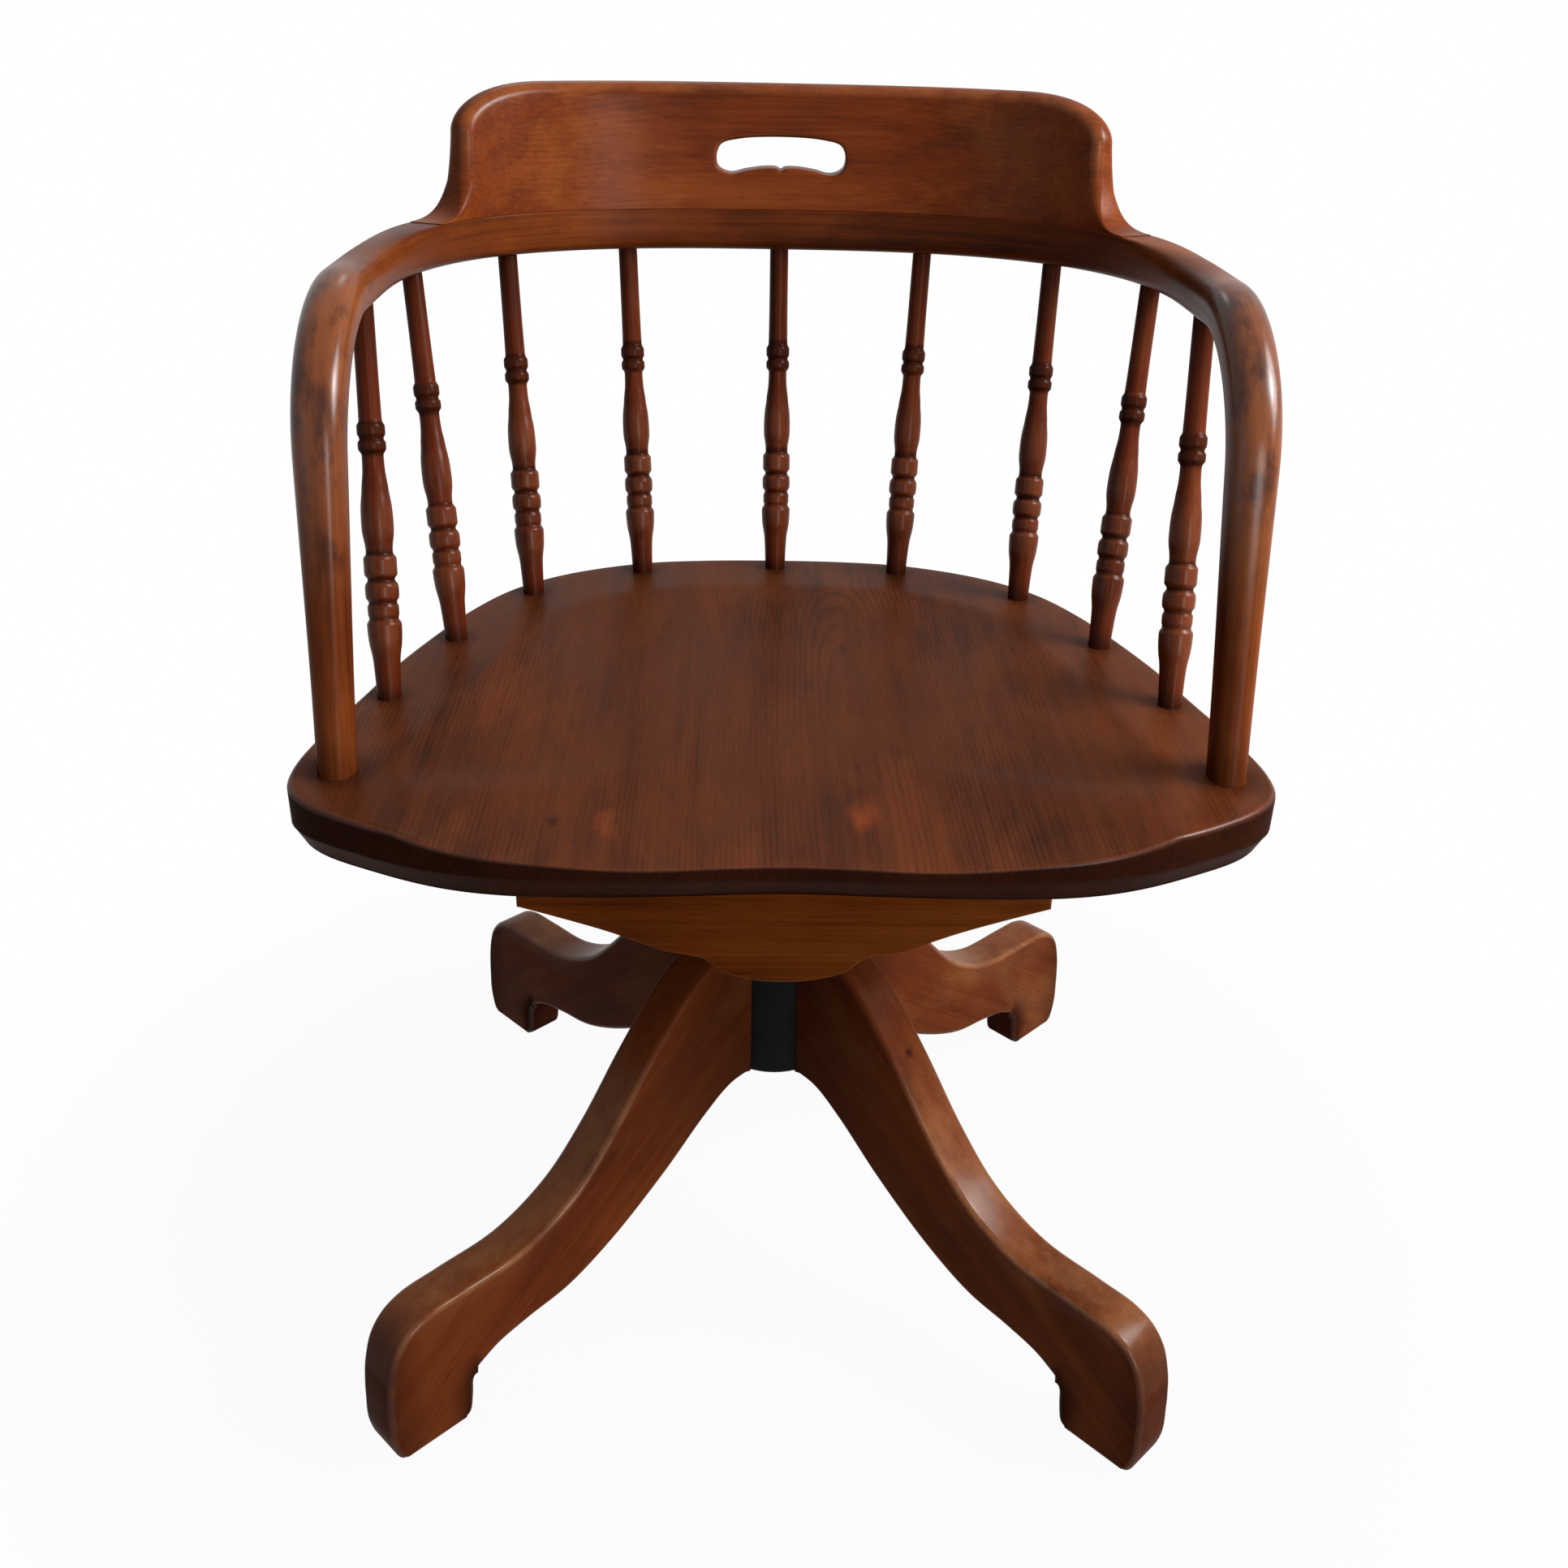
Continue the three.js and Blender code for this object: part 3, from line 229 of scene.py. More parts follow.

# %% [markdown]
# ## Wood
# The whole chair is stained and varnished hardwood. Real wood has growth rings round the trunk,
# long fibres, short dark pores, and a stain that took unevenly. An image would show this from one
# side only. Here the rings are worked out in depth, so they turn up on every face of a board as
# they would on a sawn one. Each wooden piece carries a vector called grain at every point: the
# place in its own board, with the first number along the fibres. Two values go with it: wear is
# high where hands and cloth have rubbed an edge, and on the legs' tops it also paints a highlight.
# The other darkens the finish, for stain that sits deep in end grain and for painted shade round
# the feet, in grooves, near the hub and on faces that the light misses.


# %% Pattern helpers
def colour_of(hex_colour):
    """A web colour as Blender's linear colour."""
    parts = [int(hex_colour[at:at + 2], 16) / 255 for at in (1, 3, 5)]
    return (*[(part / 12.92 if part <= 0.04045 else ((part + 0.055) / 1.055) ** 2.4)
              for part in parts], 1)


def noise(tree, vector, scale, detail=3.0, roughness=0.55, distortion=0.0):
    return add_node(tree, "ShaderNodeTexNoise", inputs={
        "Vector": vector, "Scale": scale, "Detail": detail, "Roughness": roughness,
        "Distortion": distortion}).outputs[0]


def stretched(tree, source, along, across, shift=(0, 0, 0)):
    """The grain place, squeezed along the fibres so that a pattern runs with them."""
    return add_node(tree, "ShaderNodeMapping", inputs={
        "Vector": source, "Location": shift, "Scale": (along, across, across)}).outputs[0]


def mixed(tree, share, first, second, blend="MIX"):
    return add_node(tree, "ShaderNodeMix", {"data_type": "RGBA", "blend_type": blend},
                    {0: share, 6: first, 7: second}).outputs[2]


def ramp(tree, value, stops):
    node = add_node(tree, "ShaderNodeValToRGB", inputs={"Fac": value})
    elements = node.color_ramp.elements
    while len(elements) < len(stops):
        elements.new(0.5)
    for element, (place, colour) in zip(elements, stops):
        element.position = place
        element.color = colour_of(colour)
    return node.outputs[0]


def new_finish(name):
    material = bpy.data.materials.new(name)
    material.use_nodes = True
    return material, material.node_tree, material.node_tree.nodes["Principled BSDF"]


# %% Marks in the wood
def marked(tree, colour, grain, rub, marks):
    """Small stains, plugs and knots, each an uneven spot at its place in the board."""
    for place, length, width, mark, share in marks:
        spot = of_vectors(tree, "DIVIDE", of_vectors(tree, "SUBTRACT", grain, place),
                          (length, width, width))
        ragged = plus(tree, of_vectors(tree, "LENGTH", spot),
                      remapped(tree, rub, 0.3, 0.7, -0.5, 0.5))
        colour = mixed(tree, remapped(tree, ragged, 1.0, 0.2, 0.0, share), colour,
                       colour_of(mark))
    return colour


# %% Wood finish
AMBER_SHARE = 0.25
PORE_SHARE = 0.35


def hardwood(name, stains, ring_width=0.0035, trunk=(0.03, -0.11),
             roughness=0.38, specular=0.03, coat=0.08, rings_seen=0.06, figure=0.35, blotch=0.5,
             end_shade=0.5, mottle=0.0, polish=0.5, marks=()):
    """Varnished hardwood; trunk is where the tree's middle lies across the board."""
    material, tree, surface = new_finish(name)
    dark, worn = colour_of(stains[0]), colour_of(stains[3])
    grain, wear, end_grain = (
        add_node(tree, "ShaderNodeAttribute", {"attribute_name": label}).outputs[output]
        for label, output in (("grain", "Vector"), ("wear", "Fac"), ("end_grain", "Fac")))

    def streaks(along, across, detail, roughness=0.5, distortion=0.0, shift=(0, 0, 0)):
        return noise(tree, stretched(tree, grain, along, across, shift), 1.0, detail, roughness,
                     distortion)

    def swing(value, amount):
        return calculated(tree, "MULTIPLY_ADD", value, amount, -amount / 2)

    fibres = streaks(7.0, 420.0, 4.0, 0.62)
    strands = streaks(2.4, 85.0, 3.0, 0.5, 0.5)
    patches = streaks(5.0, 13.0, 4.0, 0.6, 0.3)
    clouds = streaks(9.0, 17.0, 3.0, shift=(3.1, 1.7, 0.4))
    pores = remapped(tree, streaks(60.0, 1300.0, 1.0), 0.62, 0.74, 0.0, PORE_SHARE)
    rub = streaks(30.0, 55.0, 4.0, 0.65)
    rings = add_node(tree, "ShaderNodeTexWave", {
        "wave_type": "RINGS", "rings_direction": "X", "wave_profile": "SAW"}, {
        "Vector": stretched(tree, grain, 0.10, 1.0, (0.0, *trunk)), "Scale": 0.314 / ring_width,
        "Distortion": 9.0, "Detail": 4.0, "Detail Scale": 0.13,
        "Detail Roughness": 0.6}).outputs["Fac"]
    late = times(tree, remapped(tree, rings, 0.50, 0.97),
                 remapped(tree, clouds, 0.40, 0.66, 0.05, 1.0))
    tone = plus(tree, swing(fibres, figure), swing(strands, figure), swing(patches, blotch),
                times(tree, late, -rings_seen), 0.5 + rings_seen * 0.25)

    colour = ramp(tree, tone, [(0.30, stains[0]), (0.50, stains[1]), (0.72, stains[2])])
    colour = mixed(tree, remapped(tree, clouds, 0.54, 0.74, 0.0, AMBER_SHARE), colour, worn)
    colour = mixed(tree, pores, colour, dark, "MULTIPLY")
    rubbed = times(tree, wear, remapped(tree, rub, 0.36, 0.60, 0.12, 1.0))
    colour = mixed(tree, rubbed, colour, worn)
    handled = times(tree, remapped(tree, wear, 0.04, 0.09),
                    remapped(tree, rub, 0.50, 0.28, 0.0, mottle))
    colour = mixed(tree, handled, colour, dark)
    # The third value's darkening: real stain in end grain, and painted shade.
    stain_and_shade_share = times(tree, end_grain,
                      remapped(tree, fibres, 0.3, 0.7, end_shade, end_shade * 0.88))
    colour = mixed(tree, stain_and_shade_share, colour, dark)

    height = calculated(tree, "SUBTRACT", times(tree, fibres, 0.5), pores)
    feed(tree, surface, {
        "Base Color": marked(tree, colour, grain, rub, marks),
        "Roughness": plus(tree, remapped(tree, patches, 0.3, 0.7, -0.06, 0.07),
                          remapped(tree, fibres, 0.3, 0.7, -0.04, 0.05), roughness),
        "Normal": add_node(tree, "ShaderNodeBump", inputs={
            "Strength": 0.30, "Distance": 0.0003, "Height": height}).outputs[0],
        "Specular IOR Level": remapped(tree, end_grain, 0.2, 0.9, specular, 0.0),
        "Coat Weight": plus(tree, times(tree, wear, polish), coat),
        "Coat Roughness": 0.23, "Coat IOR": 1.45})
    return material


# %% The chair's woods
# Each wood's stains run from the darkest to the rubbed one. A mark is a place in the board, a
# length and a width, a stain and a strength.
SEAT_MARKS = [((-0.184, -0.133, 0.437), 0.009, 0.0045, "#1c0c07", 0.7),
              ((-0.169, 0.133, 0.438), 0.008, 0.0040, "#1c0c07", 0.7),
              ((-0.174, 0.045, 0.432), 0.024, 0.0120, "#94441c", 0.4),
              ((-0.185, -0.103, 0.432), 0.018, 0.0090, "#8c421e", 0.35)]
LEG_PLUG = [((4.0914, 0.8785, 0.0), 0.0042, 0.0042, "#2c0c08", 0.9)]
seat_wood = hardwood(
    "varnished_seat_board", ("#1f0d07", "#4c2411", "#5f3017", "#804222"), ring_width=0.0031,
    trunk=(-0.045, -0.405), rings_seen=0.13, coat=0.02, figure=0.25, blotch=0.66,
    end_shade=1.0, roughness=0.42, polish=1.2, marks=SEAT_MARKS)
bow_wood = hardwood(
    "varnished_bent_bow", ("#230e07", "#58260d", "#743914", "#985828"), trunk=(0.06, 0.02),
    coat=0.05, blotch=0.85, mottle=0.95, polish=2.2)
crest_wood = hardwood(
    "varnished_crest_board", ("#2c0f06", "#662b0d", "#854419", "#9c5a28"),
    trunk=(-0.12, 0.05), figure=0.24, coat=0.10, polish=0.8)
spindle_wood = hardwood(
    "varnished_turned_wood", ("#1f0a05", "#4e1c08", "#672d12", "#844826"), ring_width=0.003,
    trunk=(0.02, 0.0), coat=0.07, end_shade=0.85)
leg_wood = hardwood(
    "varnished_leg_plank", ("#28100a", "#5c2910", "#75401c", "#9c683c"), trunk=(0.05, 0.11),
    rings_seen=0.04, figure=0.18, blotch=0.42, coat=0.015, specular=0.008, end_shade=0.9,
    polish=1.1, marks=LEG_PLUG)
bearer_wood = hardwood(
    "varnished_bearer_board", ("#2a1005", "#602c0c", "#763f16", "#8a5222"),
    trunk=(0.14, 0.03), specular=0.005, coat=0.0, figure=0.26, polish=0.1)
print("woods:", [material.name for material in bpy.data.materials if "varnished" in material.name])

# %% [markdown]
# ## Metals and bare dowels
# The hub is a near-black iron tube with a smooth, slightly greasy coat. The screw and the
# fasteners are worn steel, the washers are brass. Noise in the colour and the roughness keeps
# them from looking like plastic. The dowels that join the crest to the bow are bare birch.


# %% Metal finishes
def metal(name, dark, light, metallic, roughness, grime_scale, dent=0.0002, specular=0.5):
    material, tree, surface = new_finish(name)
    place = add_node(tree, "ShaderNodeTexCoord").outputs["Object"]
    grime_and_shade = noise(tree, place, grime_scale, 5.0, 0.6, 0.3)
    fine = noise(tree, place, grime_scale * 14, 3.0, 0.6)
    feed(tree, surface, {
        "Base Color": ramp(tree, grime_and_shade, [(0.36, dark), (0.66, light)]),
        "Roughness": remapped(tree, grime_and_shade, 0.3, 0.7, roughness + 0.10, roughness - 0.08),
        "Normal": add_node(tree, "ShaderNodeBump", inputs={
            "Strength": 0.35, "Distance": dent,
            "Height": plus(tree, grime_and_shade, times(tree, fine, 0.25))}).outputs[0],
        "Metallic": metallic, "Specular IOR Level": specular})
    return material


black_iron = metal("blackened_iron", "#060505", "#0d0b0b", 0.0, 0.5, 45.0, specular=0.06)
worn_steel = metal("worn_steel", "#3b3834", "#77736d", 0.9, 0.36, 90.0, 0.0001)
brass = metal("tarnished_brass", "#6b4a1d", "#a8823f", 0.9, 0.34, 80.0, 0.0001)
dowel_wood = metal("bare_birch_dowel", "#9a6f42", "#c39a66", 0.0, 0.7, 220.0)
print("metals:", black_iron.name, worn_steel.name, brass.name)

# %% [markdown]
# ## Making meshes
# Most pieces here are either rows of rings, as a bent rail is, or a flat board with eased edges.
# Both are made from plain lists of points. The grain and wear values are stored on the same
# points, so the materials can read them.


# %% Mesh helpers
def store_values(mesh, name, values):
    """Stores one number, or one vector, for each of the mesh's points."""
    values = np.asarray(values, np.float32)
    kind, field = ("FLOAT", "value") if values.ndim == 1 else ("FLOAT_VECTOR", "vector")
    mesh.attributes.new(name, kind, "POINT").data.foreach_set(field, values.ravel())


def finished(name, mesh, sharp_angle=35):
    """An object for the mesh, its faces turned outwards and shaded smooth but for sharp edges."""
    work = bmesh.new()
    work.from_mesh(mesh)
    bmesh.ops.recalc_face_normals(work, faces=work.faces)
    work.to_mesh(mesh)
    work.free()
    mesh.shade_smooth()
    mesh.set_sharp_from_angle(angle=math.radians(sharp_angle))
    return put_in_scene(name, mesh)


def mesh_piece(name, points, faces, material, sharp_angle=35, **values):
    mesh = bpy.data.meshes.new(name)
    mesh.from_pydata(np.asarray(points).tolist(), [], faces)
    mesh.validate()
    mesh.materials.append(material)
    for label, numbers in values.items():
        store_values(mesh, label, numbers)
    return finished(name, mesh, sharp_angle)


def ring_faces(rings, sides, ends="capped"):
    """Faces of a skin through rings of equally many points; its ends are capped, open or joined."""
    faces = []
    for ring in range(rings if ends == "joined" else rings - 1):
        low = ring * sides
        high = (ring + 1) % rings * sides
        for side in range(sides):
            after = (side + 1) % sides
            faces.append((low + side, low + after, high + after, high + side))
    if ends == "capped":
        faces.append(tuple(range(sides - 1, -1, -1)))
        faces.append(tuple(range((rings - 1) * sides, rings * sides)))
    return faces


def place_piece(thing, body, slot, *replaced):
    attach(thing, body)
    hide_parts(*replaced)
    print(thing.name, "has", len(thing.data.polygons), "faces and stands for", len(replaced))


# %% [markdown]
# ## A curve through chosen points
# The seat's outline and the bow's ring are both drawn through a few points. A centripetal
# Catmull-Rom curve passes through every one of them and never makes a loop between two close
# ones, so it is the curve that the CAD model uses too.


# %% Curve helpers
def unit(vectors):
    return vectors / (np.linalg.norm(vectors, axis=-1, keepdims=True) + 1e-12)


def smooth(low, high, value):
    share = np.clip((value - low) / (high - low), 0, 1)
    return share * share * (3 - 2 * share)


def full_turn(count):
    return np.arange(count) / count * 2 * math.pi


def curve_through(points, closed=False, steps=24):
    points = [np.array(point, float) for point in points]
    count = len(points)
    found = []
    for index in range(count if closed else count - 1):
        p1 = points[index]
        p2 = points[(index + 1) % count]
        p0 = points[index - 1] if closed or index > 0 else 2 * p1 - p2
        p3 = points[(index + 2) % count] if closed or index + 2 < count else 2 * p2 - p1
        gap0, gap1, gap2 = (np.linalg.norm(b - a) ** 0.5 for a, b in ((p0, p1), (p1, p2), (p2, p3)))
        start = ((p1 - p0) / gap0 - (p2 - p0) / (gap0 + gap1) + (p2 - p1) / gap1) * gap1
        end = ((p2 - p1) / gap1 - (p3 - p1) / (gap1 + gap2) + (p3 - p2) / gap2) * gap1
        for step in range(steps):
            t = step / steps
            found.append(p1 + start * t + (3 * (p2 - p1) - 2 * start - end) * t ** 2
                         + (2 * (p1 - p2) + start + end) * t ** 3)
    found.append(points[0] if closed else points[-1])
    return np.array(found)


def run_lengths(points):
    return np.concatenate([[0], np.cumsum(np.linalg.norm(np.diff(points, axis=0), axis=1))])


def evenly(points, count):
    lengths = run_lengths(points)
    wanted = np.linspace(0, lengths[-1], count)
    return np.column_stack([np.interp(wanted, lengths, values) for values in points.T])


# %% [markdown]
# ## The seat
# The seat is one thick board, hollowed for the sitter: deep in the middle, a flat rim at the back
# and sides, and a hollow that runs out over the front edge for each thigh, with a low ridge
# between. A subdivision surface would need its hollow modelled by hand. Here the hollow is a
# formula of the direction and the distance from its middle, the same one as in the CAD model,
# and it is sampled finely enough for the soft crease between the hollow and the rim.

# %% Seat sizes
seat_low, seat_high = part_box("seat")
hub_low, hub_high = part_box("hub_casting")
AXIS_Y = (hub_low.y + hub_high.y) / 2
SEAT_TOP = seat_high.z
SEAT_UNDER = seat_low.z
SEAT_HALF_WIDTH = 0.290
SEAT_DEPTH = 0.460
SEAT_FRONT = 0.222
DISH_DEPTH = 0.013
DISH_CENTRE = -0.060
RIM_WIDTH = 0.060
DISH_FRONT_RUN = 0.170
DISH_STEEPNESS = 3
DISH_FADE_START_SHARE = 0.38
DISH_FADE_END_SHARE = 0.92
THIGH_DEPTH = 0.0022
THIGH_PLACE = 0.084
THIGH_SPREAD = 0.042
SEAT_ROUND = 0.0038
UNDER_TUCK = 0.0012
BEVEL_HOLLOW = 0.0004
CREASE_GAP = 0.0003
SIDE_GAP = 0.0016
EDGE_GAP = 0.001
FRONT_SHARP_SHARE = 0.55
UNDER_BEVEL_IN = 0.0034
UNDER_BEVEL_UP = 0.0118
FRONT_BEVEL_IN = 0.0130
FRONT_BEVEL_UP = 0.0175
BEVEL_GROWS_FROM_SHARE = 0.20
BEVEL_GROWS_TO_SHARE = 0.50
# The edge is darkened ring by ring: stain in the end grain and painted shade on faces the light
# misses; across the middle of the lower bevel it is a little lighter, as painted bounce light.
UNDER_STAIN_AND_SHADE_SHARE = 0.8
BEVEL_STAIN_SHADE_AND_BOUNCE_SHARES = [(0.05, 0.95), (0.3, 0.82), (0.7, 0.78), (0.97, 0.86)]
SIDE_STAIN_AND_SHADE_SHARE = 0.88
SEAT_SIDES = 300
SEAT_ROUND_RINGS = 9
SEAT_TOP_RINGS = 60
SEAT_OUTLINE_SHARES = [
    (0, 0.004), (0.22, 0), (0.42, 0), (0.592, 0.008), (0.718, 0.028), (0.857, 0.07),
    (0.948, 0.112), (0.99, 0.152), (1, 0.204), (0.976, 0.309), (0.93, 0.433), (0.895, 0.53),
    (0.836, 0.648), (0.775, 0.75), (0.686, 0.848), (0.557, 0.922), (0.362, 0.978),
    (0.2, 0.995), (0, 1)]

half = [(across * seat_high.x, deep * SEAT_DEPTH - SEAT_FRONT)
        for across, deep in SEAT_OUTLINE_SHARES]
outline_run = curve_through(half + [(-x, y) for x, y in half[-2:0:-1]], closed=True)
print("seat outline:", len(outline_run), "points, board", round(SEAT_TOP - SEAT_UNDER, 4), "m")


# %% Seat's reach and hollow
def seat_reach(angles):
    """How far the outline lies from the hollow's middle, in each direction."""
    x, y = outline_run[:, 0], outline_run[:, 1] - DISH_CENTRE
    directions = np.unwrap(np.arctan2(x, y))
    order = np.argsort(directions)
    return np.interp(angles, directions[order], np.hypot(x, y)[order], period=2 * math.pi)


def seat_hollow(angles, reach, dish):
    bowl = DISH_DEPTH * (1 - np.clip(reach / dish, 0, 1) ** DISH_STEEPNESS)
    ridge = np.exp(-(((np.abs(np.sin(angles)) * reach - THIGH_PLACE) / THIGH_SPREAD) ** 2))
    run = smooth(0, SEAT_FRONT + DISH_CENTRE, -np.cos(angles) * reach)
    return bowl + np.where(reach < dish, THIGH_DEPTH * ridge * run, 0)


# %% Seat board
def seat_rings():
    """Rings of points from the underside round the edge into the hollow, with wear, stain and
    painted shade.
    """
    angles = -full_turn(SEAT_SIDES)
    reach = seat_reach(angles)
    forwards = -np.cos(angles)
    front = smooth(DISH_FADE_START_SHARE, DISH_FADE_END_SHARE, forwards)
    dish = reach - RIM_WIDTH * (1 - front) + DISH_FRONT_RUN * front
    ease = SEAT_ROUND * (1 - FRONT_SHARP_SHARE * front)
    flat = reach - ease
    edge = SEAT_TOP - seat_hollow(angles, flat, dish)
    grown = smooth(BEVEL_GROWS_FROM_SHARE, BEVEL_GROWS_TO_SHARE, forwards)
    bevel_in = UNDER_BEVEL_IN + (FRONT_BEVEL_IN - UNDER_BEVEL_IN) * grown
    bevel_up = UNDER_BEVEL_UP + (FRONT_BEVEL_UP - UNDER_BEVEL_UP) * grown
    side_low = SEAT_UNDER + bevel_up
    rings = [(reach - bevel_in - UNDER_TUCK, SEAT_UNDER, 0, UNDER_STAIN_AND_SHADE_SHARE)]
    rings += [(reach - bevel_in * (1 - share) - BEVEL_HOLLOW, SEAT_UNDER + bevel_up * share, 0,
               edge_stain_and_shade) for share, edge_stain_and_shade in BEVEL_STAIN_SHADE_AND_BOUNCE_SHARES]
    rings += [(reach, side_low + CREASE_GAP, 0, BEVEL_STAIN_SHADE_AND_BOUNCE_SHARES[-1][1]),
              (reach, side_low + SIDE_GAP, 0, SIDE_STAIN_AND_SHADE_SHARE),
              (reach, edge - ease - EDGE_GAP, 0, SIDE_STAIN_AND_SHADE_SHARE)]
    for step in np.linspace(0, 1, SEAT_ROUND_RINGS):
        turn = step * math.pi / 2
        rings.append((flat + ease * math.cos(turn), edge - ease + ease * math.sin(turn),
                      0.22 * math.sin(2 * turn), SIDE_STAIN_AND_SHADE_SHARE * (1 - smooth(0.1, 0.8, step))))
    for share in np.linspace(1, 0, SEAT_TOP_RINGS)[1:-1]:
        rings.append((flat * share, SEAT_TOP - seat_hollow(angles, flat * share, dish),
                      0.12 * smooth(0.975, 1.0, share), 0))
    points = [np.column_stack([np.sin(angles) * out, np.cos(angles) * out + DISH_CENTRE + AXIS_Y,
                               np.broadcast_to(height, out.shape)]) for out, height, _, _ in rings]
    wear, edge_stain_and_shade = (np.repeat([ring[at] for ring in rings], SEAT_SIDES) for at in (2, 3))
    return np.vstack(points), wear, edge_stain_and_shade


points, wear, edge_stain_and_shade = seat_rings()
last_ring = len(points) - SEAT_SIDES
faces = ring_faces(len(points) // SEAT_SIDES, SEAT_SIDES, "open")
for tip, start in enumerate((0, last_ring)):
    faces += [(start + side, start + (side + 1) % SEAT_SIDES, len(points) + tip)
              for side in range(SEAT_SIDES)]
points = np.vstack([points, [(0, DISH_CENTRE + AXIS_Y, SEAT_UNDER),
                             (0, DISH_CENTRE + AXIS_Y, SEAT_TOP - DISH_DEPTH)]])
saddled_seat = mesh_piece("saddled_seat", points, faces, seat_wood, grain=points[:, [1, 0, 2]],
                          wear=np.append(wear, (0, 0)), end_grain=np.append(edge_stain_and_shade, (0, 0)))
place_piece(saddled_seat, "seat_frame", "seat_wood", "seat")

# %% [markdown]
# ## The bow
# Back rail and arms are one bent piece. Its middle line goes round the back as a squared ellipse,
# runs forward along each side, turns down in a soft bend and leans back a little towards the
# seat. A section, square with very round corners, is carried along that line and gets slimmer
# towards the foot of the arm. Sweeping the rings by formula keeps every one upright, which a
# plain bevelled curve doesn't do in the bend.

# %% Bow path
BOW_UNDER = SEAT_TOP + 0.233
BOW_HEIGHT = 0.029
BOW_WIDTH = 0.031
BOW_HALF_WIDTH = SEAT_HALF_WIDTH - 0.029
BOW_BACK = SEAT_DEPTH - SEAT_FRONT + 0.034
BOW_SIDE_PLACE = 0.040
BOW_CORNER_POWER = 2.75
BOW_STEP = 0.0015
ARM_BEND_RADIUS = 0.095
ARM_BEND_PULL_SHARE = 0.56
ARM_FOOT_INSET = 0.028
ARM_FOOT_PLACE = 0.133
ARM_FOOT_WIDTH = 0.0222
ARM_FOOT_LENGTH = 0.027
ARM_TAPER_HEIGHT = 0.250
ARM_LEAN = math.atan2(0.036, 0.154)
FIT = 0.0003


def bow_line():
    """The right half of the bow's middle line, from the back to the arm's foot."""
    middle = BOW_UNDER + BOW_HEIGHT / 2
    power = 2 / BOW_CORNER_POWER
    ring = [(BOW_HALF_WIDTH * math.sin(turn) ** power,
             BOW_SIDE_PLACE + (BOW_BACK - BOW_SIDE_PLACE) * max(math.cos(turn), 0) ** power, middle)
            for turn in np.linspace(0, math.pi / 2, 41)]
    rise = middle - SEAT_TOP - FIT
    corner = np.array([BOW_HALF_WIDTH, rise * math.tan(ARM_LEAN) - ARM_FOOT_PLACE, middle])
    foot = np.array([SEAT_HALF_WIDTH - ARM_FOOT_INSET, -ARM_FOOT_PLACE, SEAT_TOP + FIT])
    setback = ARM_BEND_RADIUS * math.tan((math.pi / 2 - ARM_LEAN) / 2)
    start = corner + np.array([0, setback, 0])
    end = corner + unit(foot - corner) * setback
    first = start + (corner - start) * ARM_BEND_PULL_SHARE
    second = end + (corner - end) * ARM_BEND_PULL_SHARE
    t = np.linspace(0, 1, 60)[:, None]
    bend = ((1 - t) ** 3 * start + 3 * (1 - t) ** 2 * t * first
            + 3 * (1 - t) * t ** 2 * second + t ** 3 * end)
    return np.vstack([curve_through(ring)[:-1], np.linspace(ring[-1], start, 20)[:-1],
                      bend[:-1], np.linspace(end, foot, 60)])


bow_run = bow_line()
bow_lengths = run_lengths(bow_run)
BOW_LENGTH = bow_lengths[-1]
print("half of the bow is", round(BOW_LENGTH, 3), "m long")


# %% Places on the bow
def on_bow(distance):
    return np.array([np.interp(distance, bow_lengths, values) for values in bow_run.T])


def bow_frame(distance):
    """Place, direction, inward and upward on the bow's line, at a distance from its middle."""
    along = unit(on_bow(distance + BOW_STEP) - on_bow(distance - BOW_STEP))
    if distance < BOW_STEP:
        along = np.array([1.0, 0, 0])
    inward = unit(np.array([along[1], -along[0], 0]))
    return on_bow(distance), along, inward, np.cross(inward, along)


# %% Bow sweep
BOW_SIDES = 40
BOW_FLAT_RUN = 0.272
BOW_ROUND_RUN = 0.375
BOW_SECTION_POWER = 0.62
BOW_FLAT_POWER = 0.07
BOW_BACK_POWER = 0.30
RING_SPACING = 0.0035


def powered(value, power):
    return np.sign(value) * np.abs(value) ** power


